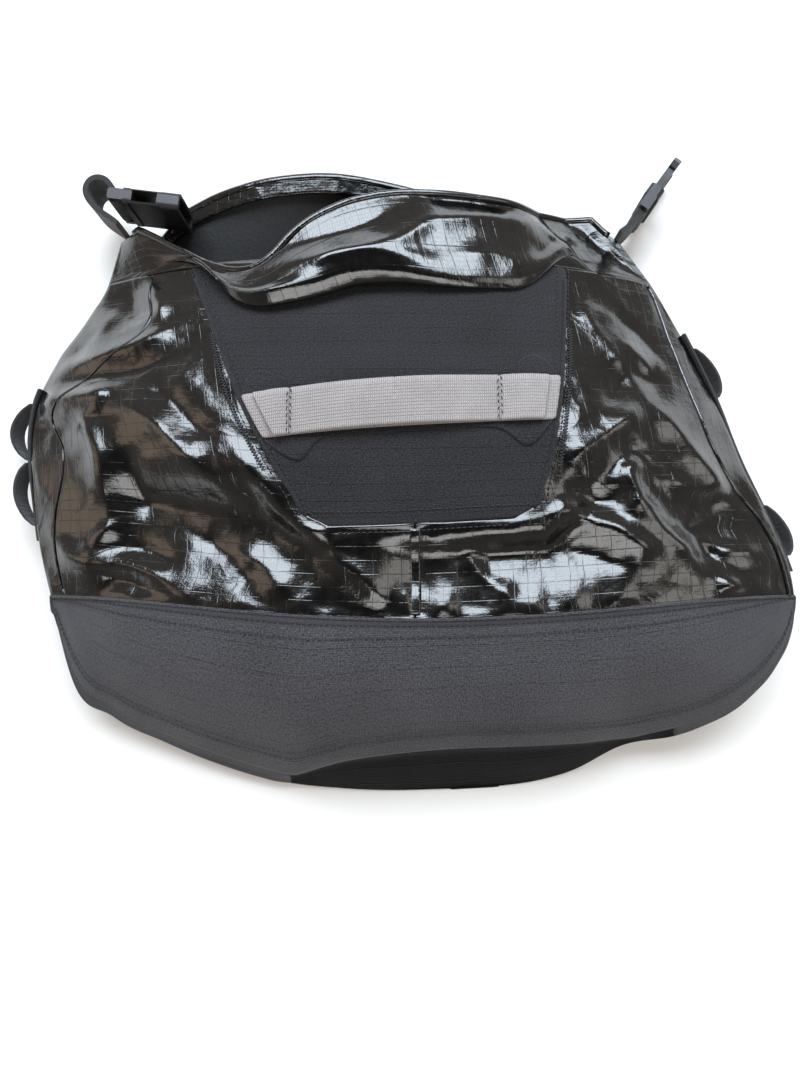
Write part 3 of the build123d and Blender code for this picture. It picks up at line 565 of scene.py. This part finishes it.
# ---------------------------------------------------------------- materials
class Nodes:
    """Small helper for building the node tree of a material, or of the world."""

    def __init__(self, name, world=None):
        self.material = world or bpy.data.materials.new(name)
        self.material.use_nodes = True
        self.tree = self.material.node_tree
        self.shader = self.tree.nodes["Background" if world else "Principled BSDF"]

    def add(self, kind, links=None, **values):
        node = self.tree.nodes.new("ShaderNode" + kind)
        for key, value in values.items():
            if hasattr(node, key):
                setattr(node, key, value)
            else:
                node.inputs[key].default_value = value
        for key, source in (links or {}).items():
            self.tree.links.new(source, node.inputs[key])
        return node

    def math(self, operation, a, b=0.0, c=None):
        node = self.tree.nodes.new("ShaderNodeMath")
        node.operation = operation
        for slot, value in zip(node.inputs, (a, b) if c is None else (a, b, c)):
            if isinstance(value, (int, float)):
                slot.default_value = value
            else:
                self.tree.links.new(value, slot)
        return node.outputs[0]

    def times(self, a, b):
        return self.math("MULTIPLY", a, b)

    def most(self, a, b):
        return self.math("MAXIMUM", a, b)

    def lift(self, a, b, c):
        """a * b + c"""
        return self.math("MULTIPLY_ADD", a, b, c)

    def off_half(self, value):
        """Distance of a value from one half."""
        return self.math("ABSOLUTE", self.math("SUBTRACT", value, 0.5))

    def set(self, **values):
        for key, value in values.items():
            self.shader.inputs[key.replace("_", " ")].default_value = value

    def link(self, source, key):
        self.tree.links.new(source, self.shader.inputs[key])

    def places(self, uv=True):
        """Separate X, Y and Z of the cut layer, or of the object."""
        if uv:
            source = self.add("UVMap", uv_map="cut").outputs["UV"]
        else:
            source = self.add("TexCoord").outputs["Object"]
        parts = self.add("SeparateXYZ", {"Vector": source})
        return source, parts.outputs

    def noise(self, vector, scale, detail=2.0, rough=0.5):
        node = self.add("TexNoise", {"Vector": vector}, Scale=scale, Detail=detail, Roughness=rough)
        return node.outputs["Fac"]

    def ramp(self, fac, stops):
        node = self.add("ValToRGB", {"Fac": fac})
        ramp = node.color_ramp
        while len(ramp.elements) < len(stops):
            ramp.elements.new(0.5)
        for element, (at, color) in zip(ramp.elements, stops):
            element.position = at
            element.color = (*color, 1)
        return node.outputs["Color"]

    def range(self, value, a, b, c, d):
        node = self.add("MapRange", {"Value": value})
        for key, number in zip(("From Min", "From Max", "To Min", "To Max"), (a, b, c, d)):
            node.inputs[key].default_value = number
        return node.outputs["Result"]

    def lines(self, place, pitch, width):
        """1 on lines at a pitch, 0 between them; the line's soft width is a share of the pitch."""
        saw = self.math("FRACT", self.times(place, 1 / (pitch * MM)))
        return self.range(self.off_half(saw), 0.5 - width, 0.5, 0.0, 1.0)

    def bump(self, height, strength, distance):
        node = self.add("Bump", {"Height": height}, Strength=strength, Distance=distance)
        self.tree.links.new(node.outputs["Normal"], self.shader.inputs["Normal"])
        return node


def glossy_ripstop():
    """Coated ripstop: black, shiny, with the grid of thicker threads pressed through the coat."""
    n = Nodes("glossy_ripstop")
    source, at = n.places()
    grid = n.most(n.lines(at[0], 7.6, 0.04), n.lines(at[1], 7.6, 0.04))
    fine = n.most(n.lines(at[0], 1.5, 0.25), n.lines(at[1], 1.5, 0.25))
    crinkle = n.noise(source, 260, 3, 0.6)
    broad = n.noise(source, 55, 2, 0.5)
    worn = n.noise(source, 900, 2, 0.6)
    height = n.lift(fine, 0.012, n.times(crinkle, 0.2))
    height = n.lift(grid, -0.045, height)
    # sharp little creases, thick in some places and missing in others
    shift = n.add("TexNoise", {"Vector": source}, Scale=20.0, Detail=1.0)
    scaled = n.add("VectorMath", {0: shift.outputs["Color"]}, operation="SCALE")
    scaled.inputs["Scale"].default_value = 0.05
    moved = n.add("VectorMath", {0: source, 1: scaled.outputs["Vector"]}, operation="ADD")
    wide = n.off_half(n.noise(moved.outputs["Vector"], 21, 1, 0.4))
    small = n.off_half(n.noise(moved.outputs["Vector"], 58, 1, 0.4))
    where = n.range(n.noise(source, 14, 1, 0.5), 0.42, 0.62, 0.15, 1.0)
    creases = n.times(where, n.lift(small, 1.6, n.times(wide, 3.8)))
    n.bump(n.math("SUBTRACT", height, creases), 0.75, 0.0011)
    patchy = n.range(n.noise(source, 30, 2, 0.5), 0.35, 0.65, 0.3, 1.0)
    marks = n.times(grid, patchy)
    n.link(n.ramp(broad, [(0.3, (0.0016, 0.0016, 0.0017)), (0.75, (0.0045, 0.0043, 0.0042))]), "Base Color")
    level = n.lift(marks, -0.36, n.range(worn, 0.3, 0.7, 0.85, 1.0))
    n.link(n.lift(fine, -0.1, level), "Specular IOR Level")
    n.link(n.range(crinkle, 0.3, 0.7, 0.1, 0.2), "Roughness")
    n.set(IOR=1.5, Coat_Weight=0.12, Coat_Roughness=0.12)
    return n.material


def matte_ripstop(name, dark, light, shine):
    """Uncoated nylon ripstop: charcoal, dull, with single threads and a wide grid."""
    n = Nodes(name)
    source, at = n.places()
    wave_u = n.lines(at[0], 0.9, 0.45)
    wave_v = n.lines(at[1], 0.9, 0.45)
    weave = n.math("ADD", n.times(wave_u, 0.5), n.times(wave_v, 0.5))
    wobble = n.lift(n.noise(source, 40, 2, 0.5), 0.0016, at[1])
    grid_u = n.times(n.lines(at[0], 9.6, 0.045), 0.35)
    grid = n.most(grid_u, n.lines(wobble, 9.3, 0.045))
    speck = n.noise(source, 1050, 2, 0.7)
    broad = n.noise(source, 22, 3, 0.5)
    height = n.lift(grid, 0.9, n.lift(speck, 1.3, weave))
    n.bump(height, 0.8, 0.00035)
    tone = n.lift(speck, 1.7, n.lift(weave, 0.16, -0.62))
    tone = n.lift(grid, -0.12, n.lift(broad, 0.3, tone))
    n.link(n.ramp(tone, [(0.05, dark), (1.0, light)]), "Base Color")
    n.set(Roughness=0.8, Sheen_Weight=0.6 * shine, Sheen_Roughness=0.5)
    n.shader.inputs["Specular IOR Level"].default_value = shine
    return n.material


def webbing(name, dark, light, rough=0.8, half=12.5, uv=True):
    """Woven tape: short yarns in rows and columns, with a ribbed edge; u runs along and v across, in mm."""
    n = Nodes(name)
    source, at = n.places(uv)
    if not uv:
        at = [n.math("ADD", at[0], at[1]), at[2]]
    ribs = n.lines(at[0], 1.12, 0.34)
    rows = n.lines(at[1], 1.75, 0.3)
    across = n.math("ABSOLUTE", at[1])
    selvage = n.range(across, (half - 2.6) * MM, (half - 2.2) * MM, 0.0, 1.0)
    row_gaps = n.times(rows, n.math("SUBTRACT", 1.0, selvage))
    line = n.range(n.math("ABSOLUTE", n.math("SUBTRACT", across, (half - 2.5) * MM)), 0.0, 0.0004, 1.0, 0.0)
    dots = n.times(line, n.lines(at[0], 2.24, 0.3))
    speck = n.noise(source, 1300, 2, 0.7)
    broad = n.noise(source, 60, 2, 0.5)
    row_gaps = n.most(n.times(row_gaps, 0.8), dots)
    gaps = n.most(n.times(ribs, 0.8), row_gaps)
    height = n.lift(gaps, -1.0, n.times(speck, 0.35))
    n.bump(height, 1.0, 0.0005)
    tone = n.lift(gaps, -0.42, n.lift(speck, 0.6, 0.36))
    tone = n.lift(broad, 0.25, tone)
    n.link(n.ramp(tone, [(0.05, dark), (0.9, light)]), "Base Color")
    n.set(Roughness=rough, Sheen_Weight=0.2, Sheen_Roughness=0.5)
    return n.material


def plastic():
    """Moulded acetal: dark, satin and finely grained."""
    n = Nodes("buckle_plastic")
    source, at = n.places(uv=False)
    grain = n.noise(source, 2600, 2, 0.5)
    broad = n.noise(source, 90, 2, 0.5)
    n.bump(n.math("ADD", grain, n.times(broad, 1.5)), 0.25, 0.0002)
    n.link(n.ramp(broad, [(0.3, (0.008, 0.008, 0.009)), (0.7, (0.014, 0.014, 0.0155))]), "Base Color")
    n.link(n.range(grain, 0.3, 0.7, 0.34, 0.48), "Roughness")
    return n.material


def plain_fabric(name, dark, light, rough=0.85, scale=900):
    n = Nodes(name)
    source, at = n.places(uv=False)
    grain = n.noise(source, scale, 2, 0.6)
    n.bump(grain, 0.6, 0.0003)
    n.link(n.ramp(grain, [(0.3, dark), (0.75, light)]), "Base Color")
    n.set(Roughness=rough)
    return n.material


GLOSSY = glossy_ripstop()
MATTE = matte_ripstop("matte_ripstop", (0.004, 0.004, 0.0046), (0.115, 0.112, 0.126), 0.25)
# A darker, duller copy of the same ripstop: painted shade over the insert, its piping and the handle patch.
MATTE_INSERT_PAINTED_SHADE = matte_ripstop("insert_ripstop_painted_shade", (0.002, 0.002, 0.0024), (0.052, 0.05, 0.056), 0.14)
# A still darker, duller copy of the same ripstop: painted shade on the bottom panel under the band's
# overhang.
MATTE_PAINTED_SHADE = matte_ripstop("matte_ripstop_painted_shade", (0.0015, 0.0015, 0.0016), (0.014, 0.014, 0.015), 0.06)
GREY_WEB = webbing("grey_webbing", (0.082, 0.075, 0.073), (0.455, 0.415, 0.408))
BLACK_WEB = webbing("black_webbing", (0.003, 0.003, 0.0035), (0.022, 0.022, 0.024), 0.75, 100, False)
PLASTIC = plastic()
THREAD = plain_fabric("thread", (0.012, 0.012, 0.014), (0.045, 0.045, 0.05), 0.7)
GREY_THREAD = plain_fabric("grey_thread", (0.012, 0.011, 0.011), (0.05, 0.047, 0.045), 0.75)
LINING = plain_fabric("lining", (0.004, 0.004, 0.005), (0.012, 0.012, 0.014), 0.6, 500)
TAPE = plain_fabric("seam_tape", (0.01, 0.01, 0.012), (0.02, 0.02, 0.024), 0.5, 300)

# ---------------------------------------------------------------- build
SKIN = make_skin()
CUT = flat_places(SKIN)
CENTRE_COL = C0["insert"] + int(round(dict(COLUMNS)["insert"] * 0.21 / (0.21 + 0.24)))


def cells(*boxes):
    """Chooses the grid's cells that lie in any box of rows and columns."""
    return lambda i, j: any(a <= i < b and c <= j < d for a, b, c, d in boxes)


PANELS = {
    "front_insert": (MATTE_INSERT_PAINTED_SHADE, cells((HIGH, COLLAR, C0["insert"], C0["right"]))),
    "front_panel_left": (GLOSSY, cells((LOW, HIGH, C0["left"], CENTRE_COL),
                                       (HIGH, COLLAR, C0["left"], C0["insert"]))),
    "front_panel_right": (GLOSSY, cells((LOW, HIGH, CENTRE_COL, C0["gusset_right"]),
                                        (HIGH, COLLAR, C0["right"], C0["gusset_right"]))),
    "gusset_left": (GLOSSY, cells((LOW, COLLAR, 0, C0["left"]))),
    "gusset_right": (GLOSSY, cells((LOW, COLLAR, C0["gusset_right"], NC))),
    "base_band_front": (MATTE, cells((CREASE, LOW, EDGE_A, EDGE_B))),
}


def make_panels():
    for name, (material, keep) in PANELS.items():
        obj = grid_piece(name + "_cloth", SKIN, keep, CUT, material)
        hand_over(obj, "glossy_ripstop" if material is GLOSSY else "matte_ripstop", name)

    in_foot = cells((R0["foot"], CREASE, EDGE_A, EDGE_B))
    # The foot's middle, the bottom panel, takes the painted shade copy of the ripstop.
    feet = [("foot_cloth", True, MATTE_PAINTED_SHADE, ["bottom_panel"]),
            ("foot_side_cloth", False, MATTE, ["base_band_left", "base_band_right"])]
    for name, bottom, material, nodes in feet:
        def keep(i, j, bottom=bottom):
            return in_foot(i, j) and (BOTTOM_FROM < SKIN[BASE_ROW, j, 0] < BOTTOM_TO) == bottom

        hand_over(grid_piece(name, SKIN, keep, CUT, material), "matte_ripstop", *nodes)
    collar = grid_piece("collar_front_cloth", SKIN, cells((COLLAR, R0["end"], 0, NC)), CUT, GLOSSY)
    bend_at_tuck(collar, "collar_front", "collar_side_left", "collar_side_right")


def back_height(x, y):
    """The back wall lies flat and lifts towards the rim."""
    up = unit((y - Y_FOLD) / (Y_RIM - Y_FOLD))
    u = np.minimum(1, np.abs((x / HALF + 0.12) / 0.7))
    return 0.8 + 0.33 * DEPTH * up**1.5 * (1 - u**2.2)


def make_back():
    """The wall that the bag lies on, with its base band, and the back of the collar."""
    foot_row = SKIN[0, EDGE_A : EDGE_B + 1]
    columns = 60
    body = []
    for i in range(LOW, COLLAR + 1, 4):
        a, b = SKIN[i, 0], SKIN[i, -1]
        body.append([a + (b - a) * t for t in np.linspace(0, 1, columns + 1)])
    body = np.array(body)
    seam = body[0]
    share = np.linspace(0, 1, columns + 1)
    low = np.stack([np.interp(share, np.linspace(0, 1, len(foot_row)), foot_row[:, k]) for k in range(3)], 1)
    base = np.array([low + (seam - low) * t for t in np.linspace(0, 1, 12)])
    walls = [("back_cloth", body, GLOSSY, "glossy_ripstop", "back_panel"),
             ("base_back_cloth", base, MATTE, "matte_ripstop", "base_band_back")]
    for name, grid, material, slot, node in walls:
        grid[..., 2] = 0.6
        hand_over(grid_piece(name, grid, None, None, material, 0.5, 0, 1.0), slot, node)
    grid = []
    start = body[-1]
    steps = 26
    tops = np.linspace(-168, 112, columns + 1)
    for k in range(steps + 1):
        t = k / steps
        xs = start[:, 0] + (tops - start[:, 0]) * t
        ys = Y_TUCK + (Y_FOLD + back_rim(tops) - Y_TUCK) * t
        ripple = np.array([noise.noise(Vector((a / 30, b / 22, 8.8))) for a, b in zip(xs, ys)])
        zs = back_height(xs, ys) + 0.8 * ripple * t
        grid.append(np.stack([xs, ys, np.maximum(zs, 0.6)], 1))
    grid = np.array(grid)
    bend_at_tuck(grid_piece("collar_back_cloth", grid, None, None, LINING, CLOTH, 1, 0.0), "collar_back")
    return grid


def tube(name, places, radius, material, sides=8, flat=1.0):
    """Round or flattened cord through places in mm."""
    points = []
    places = [Vector(p) for p in places]
    for k, p in enumerate(places):
        d = (places[min(k + 1, len(places) - 1)] - places[max(k - 1, 0)]).normalized()
        side = d.cross(Vector((0, 0, 1))).normalized()
        up = side.cross(d)
        for s in range(sides):
            a = 2 * math.pi * s / sides
            points.append(p + side * (radius * math.cos(a)) + up * (radius * flat * math.sin(a)))
    return mesh_piece(name, points, ring_faces(0, len(places), sides), [(p.x, p.y) for p in points], material)


def skin_line(cells):
    """Places on the skin at (row, column) pairs, which may be fractions."""
    places = []
    for r, c in cells:
        i, j = int(min(r, NR - 2)), int(min(c, NC - 2))
        a, b = r - i, c - j
        p = SKIN[i, j] * (1 - a) * (1 - b) + SKIN[i + 1, j] * a * (1 - b)
        places.append(p + SKIN[i, j + 1] * (1 - a) * b + SKIN[i + 1, j + 1] * a * b)
    return places


def make_trims():
    """Corded seams that stand a little above the skin."""
    insert_rows = range(HIGH + 2, COLLAR - 2)
    trims = [  # name, cells, radius, flatness and material
        ("insert_piping_left", [(r, C0["insert"]) for r in insert_rows], 1.3, 0.8, MATTE_INSERT_PAINTED_SHADE),
        ("insert_piping_right", [(r, C0["right"]) for r in insert_rows], 1.3, 0.8, MATTE_INSERT_PAINTED_SHADE),
        ("gusset_piping_right", [(r, C0["gusset_right"]) for r in range(LOW, COLLAR)], 1.0, 0.8, GLOSSY),
        ("gusset_piping_left", [(r, C0["left"]) for r in range(LOW + 2, COLLAR)], 0.5, 0.6, GLOSSY),
        ("base_piping", [(LOW, c) for c in range(EDGE_A, EDGE_B + 1)], 0.9, 0.5, MATTE),
        ("centre_seam", [(r, CENTRE_COL) for r in range(LOW + 1, HIGH)], 3.4, 0.16, GLOSSY),
    ]
    for name, cells, radius, flat, material in trims:
        places = [p + np.array([0, 0, 0.3]) for p in skin_line(cells)]
        hand_over(tube(name + "_cord", places, radius, material, 8, flat), frame_slot(name), name)


def make_seam_tapes():
    """Sealing tapes on the inner face of the walls."""
    foot_cols = range(EDGE_A + 6, EDGE_B - 5)
    side_rows = range(LOW + 8, COLLAR - 6)
    lines = {
        "seam_tape_base": [[(LOW + r, c) for c in foot_cols] for r in (1, 4, 7)],
        "seam_tape_left": [[(r, C0["left"] + c) for r in side_rows] for c in (3, 0, -3)],
        "seam_tape_right": [[(r, C0["gusset_right"] + c) for r in side_rows] for c in (2, 0, -2)],
    }
    for name, rows in lines.items():
        grid = np.array([[p - np.array([0, 0, 2.6]) for p in skin_line(cells)] for cells in rows])
        hand_over(grid_piece(name + "_strip", grid, None, None, TAPE, 0.4, 0, 0.0), "seam_tape", name)


def frame_slot(node):
    return next(s["material_slot"] for s in frame["record"]["subparts"] if s["node"] == node)


def skin_tree():
    """Finds the skin's height under a place, for what is laid on it."""
    points = [Vector(p) for p in SKIN.reshape(-1, 3)]
    faces = []
    for i in range(LOW, COLLAR):
        for j in range(C0["left"], C0["gusset_right"]):
            faces.append((i * NC + j, i * NC + j + 1, (i + 1) * NC + j + 1, (i + 1) * NC + j))
    return BVHTree.FromPolygons(points, faces)


TREE = skin_tree()


def laid(x, y):
    hit = TREE.ray_cast(Vector((x, y, 300)), Vector((0, 0, -1)))[0]
    return hit.z if hit else float(top(np.array(x), np.array(y)))


HANDLE_LOW, HANDLE_HIGH = box_mm("handle_strap")


def handle_y(x):
    """Middle line of the handle, from the middle of the strap's CAD box."""
    off = x - (HANDLE_LOW.x + HANDLE_HIGH.x) / 2
    return (HANDLE_LOW.y + HANDLE_HIGH.y) / 2 + 0.065 * off - 0.0003 * min(off, 0) ** 2


def insert_edge(side, y):
    """X of the insert's edge at a height, on side -1 or 1."""
    col = C0["insert"] if side < 0 else C0["right"]
    column = SKIN[HIGH : COLLAR + 1, col]
    return float(np.interp(y, column[:, 1], column[:, 0]))


def make_patch():
    """Dog-bone reinforcement behind the handle."""
    rows, flat = [], []
    for t in np.linspace(0, 1, 41):
        e = abs(2 * t - 1)
        flare = 11.5 * math.exp(-(((e - 0.83) / 0.14) ** 2)) - 6.0 * max(0.0, (e - 0.86) / 0.14) ** 2
        reach = WEBBING / 2 + 2.5 + flare
        line = []
        for c in np.linspace(-1, 1, 13):
            up = c * reach
            y0 = handle_y(0) + up
            a, b = insert_edge(-1, y0 - 5) + 1.5, insert_edge(1, y0 + 4) - 1.5
            x = a + (b - a) * t
            y = handle_y(x) + up
            rim = 0.5 * (1 - min(1.0, (1 - abs(c)) * 6))
            line.append((x, y, laid(x, y) + 0.5 + rim))
        rows.append(line)
        flat.append([(p[0], p[1]) for p in line])
    patch = grid_piece("handle_patch_cloth", np.array(rows), None, np.array(flat), MATTE_INSERT_PAINTED_SHADE, 0.8, 1, 1.0)
    hand_over(patch, "matte_ripstop", "handle_patch")


def strap(name, a_of, b_of, lift, count, rise=None):
    """Grey webbing along the handle's line, between two X that may change across the strap."""
    grid, cut = [], []
    for t in np.linspace(0, 1, count + 1):
        line, marks = [], []
        for c in np.linspace(-1, 1, 9):
            up = c * WEBBING / 2
            a, b = a_of(up), b_of(up)
            x = a + (b - a) * t
            edge = 0.35 * max(0.0, abs(c) - 0.8) / 0.2
            z = laid(x, handle_y(x) + 0.85 * up) + lift - edge + (rise(x, c) if rise else 0.0)
            line.append((x, handle_y(x) + up, z))
            marks.append((x, up))
        grid.append(line)
        cut.append(marks)
    return grid_piece(name, np.array(grid), None, np.array(cut), GREY_WEB, WEB_THICK, 1, 1.0)


def seam_a(up):
    return insert_edge(-1, handle_y(HANDLE_FROM) + up) + 1.0


def seam_b(up):
    return insert_edge(1, handle_y(HANDLE_TO) + up) - 1.0


def make_handle():
    """The lower layer, the two short ends of the upper layer and the grab span, made as two overlapping
    halves.
    """
    under = strap("handle_base_strap_web", seam_a, seam_b, UNDER_LIFT, 60)
    hand_over(under, "grey_webbing", "handle_base_strap")
    tack_a, tack_b = HANDLE_LOW.x - 1.9, HANDLE_HIGH.x + 1.9
    loops = []
    for name, a, b in (("a", lambda up: seam_a(up) + 6.5, lambda up: tack_a),
                       ("b", lambda up: tack_b, lambda up: seam_b(up) - 6.5)):
        def hump(x, c, a=a, b=b):
            t = (x - a(0)) / (b(0) - a(0))
            return 1.6 * math.sin(math.pi * min(1, max(0, t)))

        loops.append(strap("handle_end_" + name, a, b, STRAP_LIFT, 16, hump))
    hand_over(join("handle_end_loops_web", loops), "grey_webbing", "handle_end_loops")

    def arch(x, c):
        t = (x - tack_a) / (tack_b - tack_a)
        slack = 0.5 * (math.sin(9 * t + 1.0) + c) * (1 - abs(2 * t - 1))
        return 4.2 * math.sin(math.pi * min(1, max(0, t))) ** 1.2 + slack

    middle = (tack_a + tack_b) / 2
    for name, a, b, start, way in (("handle_strap_left_half", tack_a, middle + HALVES_OVERLAP, tack_a, 1),
                                   ("handle_strap_right_half", middle - HALVES_OVERLAP, tack_b, tack_b, -1)):
        half = strap(name, lambda up, a=a: a, lambda up, b=b: b, STRAP_LIFT, 40, arch)
        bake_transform(half)
        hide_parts("handle_strap")
    return tack_a, tack_b


def join(name, pieces):
    """One object from several."""
    bm = bmesh.new()
    material = pieces[0].data.materials[0]
    for piece in pieces:
        bm.from_mesh(piece.data)
        bpy.data.objects.remove(piece)
    mesh = bpy.data.meshes.new(name)
    bm.to_mesh(mesh)
    bm.free()
    mesh.materials.append(material)
    mesh.shade_smooth()
    return link(mesh, name)


def stitches(name, spots, material, length=2.4, width=0.55):
    """Short raised threads. spots are (place, direction, up) in mm; all of them are one object."""
    points, faces = [], []
    for p, d, up in spots:
        p, d, up = Vector(p), Vector(d).normalized(), Vector(up).normalized()
        side = d.cross(up).normalized()
        base = len(points)
        for s, w, h in ((-0.5, 0.3, -0.2), (-0.3, 1, 0.32), (0.3, 1, 0.32), (0.5, 0.3, -0.2)):
            r = width / 2 * w
            for a in range(6):
                angle = 2 * math.pi * a / 6
                away = side * (r * math.cos(angle)) + up * (r * math.sin(angle) + h * width)
                points.append(p + d * (length * s) + away)
        faces += ring_faces(base, 4, 6)
    return mesh_piece(name, points, faces, None, material)


def along(places, pitch):
    """Evenly spaced (place, direction) pairs along a line of places."""
    places = [Vector(p) for p in places]
    runs = [0.0]
    for p, q in zip(places, places[1:]):
        runs.append(runs[-1] + (q - p).length)
    spots = []
    for at in np.arange(pitch / 2, runs[-1], pitch):
        k = max(0, int(np.searchsorted(runs, at)) - 1)
        k = min(k, len(places) - 2)
        span = max(runs[k + 1] - runs[k], 1e-6)
        spots.append((places[k].lerp(places[k + 1], (at - runs[k]) / span), places[k + 1] - places[k]))
    return spots


def shifted(cells, rows=0.0, cols=0.0):
    return [(r + rows, c + cols) for r, c in cells]


def make_stitching():
    spots = []
    up = (0, 0, 1)
    a, b = C0["insert"], C0["right"]
    high = [(r, a) for r in range(HIGH + 2, COLLAR)]
    high_b = [(r, b) for r in range(HIGH + 2, COLLAR)]
    foot = [(HIGH + 1, c) for c in range(a + 2, b - 1)]
    base = [(LOW, c) for c in range(EDGE_A + 1, EDGE_B)]
    hem = [(BASE_ROW + 12, c) for c in range(EDGE_A + 8, EDGE_B - 8)]
    centre = [(r, CENTRE_COL) for r in range(LOW + 1, HIGH - 1)]
    rows = [shifted(high, cols=1.1), shifted(high_b, cols=-1.1), shifted(high, cols=-1.3),
            shifted(high_b, cols=1.3), shifted(foot, rows=1.6), shifted(foot, rows=-2.6),
            shifted(base, rows=-0.9), shifted(base, rows=-2.9), hem, shifted(hem, rows=0.9)]
    for cells in rows:
        spots += [(p + Vector((0, 0, 0.5)), d, up) for p, d in along(skin_line(cells), 3.1)]
    for side in (-1, 1):
        line = [p + np.array([2.3 * side, 0, 1.0]) for p in skin_line(centre)]
        spots += [(p, d, up) for p, d in along(line, 3.0)]
    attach(stitches("panel_stitches", spots, THREAD), "bag")
    zig = []
    for cells, way in ((high[8:-16], -1), (high_b[8:-14], 1)):
        for k, (p, d) in enumerate(along(skin_line(shifted(cells, cols=2.2 * way)), 0.9)):
            turn = Vector((d.x, d.y, 0)).normalized()
            lean = Vector((turn.y, -turn.x, 0)) * (1.5 if k % 2 else -1.5)
            zig.append((p + Vector((0, 0, 0.5)), turn * 0.5 + lean, up))
    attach(stitches("seam_zigzag", zig, THREAD, length=3.0, width=0.5), "bag")


def make_bartacks(tack_a, tack_b):
    spots = []
    for x in (tack_a, tack_b):
        for c in np.linspace(-0.38, 0.38, 6):
            for shift, lean in ((-0.9, 0.3), (0.9, -0.3)):
                y = handle_y(x) + c * WEBBING + shift
                spots.append(((x + shift, y, laid(x, y) + 5.4), (lean, 1, 0), (0, 0, 1)))
    tacks = stitches("bartack_stitches", spots, GREY_THREAD, length=2.0, width=0.7)
    hand_over(tacks, "grey_thread", "handle_bartacks")


def make_rims(back_grid):
    """Rolled hems round the mouth."""
    front = tube("rim_hem_front_roll", SKIN[-1, EDGE_A + 9 : EDGE_B - 2], 1.9, GLOSSY, 10, 0.8)
    rim = [p + np.array([0, -1.0, 0.6]) for p in back_grid[-1]]
    back = tube("rim_hem_back_roll", rim, 2.6, GLOSSY, 10, 0.8)
    hand_over(front, "glossy_ripstop", "rim_hem_front", body="collar")
    hand_over(back, "glossy_ripstop", "rim_hem_back", body="collar")
    band = []
    for k in range(4):
        t = k / 3
        band.append(back_grid[-1] + np.array([0, -11.0 * (1 - t), 1.2 - 1.4 * (1 - t)]))
    hem = grid_piece("back_hem_band", np.array(band), None, None, GLOSSY, 0.8, 1, 1.0)
    hand_over(hem, "glossy_ripstop", body="collar")


def dress_frame():
    """Materials for the CAD nodes that stay."""
    plastics = ("buckle_female", "buckle_male", "prong_upper", "prong_lower")
    tapes = [name + side for name in ("tab", "daisy_tape", "daisy_loops") for side in ("_left", "_right")]
    for material, nodes in ((PLASTIC, plastics), (BLACK_WEB, tapes)):
        for node in nodes:
            materials = frame["nodes"][node].data.materials
            materials.clear()
            materials.append(material)


# ---------------------------------------------------------------- studio
def paint_room(world):
    """A dim warm room with a dark patch overhead, where someone stands over the bag."""
    n = Nodes("studio", world)
    way = n.add("TexCoord").outputs["Generated"]
    dot = n.add("VectorMath", {0: way}, operation="DOT_PRODUCT")
    dot.inputs[1].default_value = Vector((0.0, -0.28, 1.0)).normalized()
    stops = [(0.0, (0.34, 0.31, 0.28)), (0.55, (0.26, 0.235, 0.21)), (0.82, (0.17, 0.15, 0.13)),
             (0.95, (0.03, 0.028, 0.026))]
    n.link(n.ramp(dot.outputs["Value"], stops), "Color")
    n.set(Strength=1.0)


FOCAL_SHARE = 0.750926  # the camera's focal length as a share of its sensor's height
AIM = Vector((0, 0.03, 0.03))  # where the lamps point, in m


def studio():
    scene = bpy.context.scene
    corners = [(-3000, -3000, 0), (3000, -3000, 0), (3000, 3000, 0), (-3000, 3000, 0)]
    floor = mesh_piece("floor", corners, [(0, 1, 2, 3)], smooth=False)
    n = Nodes("floor_pale")
    source, at = n.places(uv=False)
    stops = [(0.2, (0.86, 0.845, 0.82)), (0.8, (0.9, 0.885, 0.86))]
    n.link(n.ramp(n.noise(source, 8, 2, 0.5), stops), "Base Color")
    n.set(Roughness=0.9)
    floor.data.materials.append(n.material)
    world = bpy.data.worlds.new("studio")
    scene.world = world
    paint_room(world)
    lamps = [  # name, place and size in m, watts and colour
        ("window", (-0.05, 1.1, 1.4), (1.9, 1.0), 56, (0.8, 0.9, 1.0)),
        ("warm_wall", (-1.5, 0.1, 0.8), (0.6, 1.2), 2.2, (1.0, 0.76, 0.58)),
        ("fill_right", (1.25, 0.1, 1.3), (0.8, 0.8), 4, (1.0, 0.97, 0.93)),
        ("fill_low", (0.1, -1.0, 1.4), (1.5, 0.7), 12, (1.0, 0.99, 0.98)),
    ]
    for name, at, size, power, color in lamps:
        data = bpy.data.lights.new(name, "AREA")
        data.shape = "RECTANGLE"
        data.size, data.size_y = size
        data.energy = power
        data.color = color
        lamp = bpy.data.objects.new(name, data)
        lamp.location = at
        lamp.rotation_euler = (AIM - Vector(at)).to_track_quat("-Z", "Y").to_euler()
        scene.collection.objects.link(lamp)
    data = bpy.data.cameras.new("camera")
    data.sensor_fit = "VERTICAL"
    data.sensor_height = 36.0
    data.lens = FOCAL_SHARE * data.sensor_height
    camera = bpy.data.objects.new("camera", data)
    camera.location = (-0.0057, -0.0359, 0.505)
    camera.rotation_euler = (math.radians(3.7), 0, 0)
    scene.collection.objects.link(camera)
    scene.camera = camera
    scene.view_settings.view_transform = "Standard"
    scene.view_settings.exposure = 0.0


make_panels()
back_grid = make_back()
make_trims()
make_seam_tapes()
make_patch()
tack_a, tack_b = make_handle()
make_stitching()
make_bartacks(tack_a, tack_b)
make_rims(back_grid)
dress_frame()
studio()
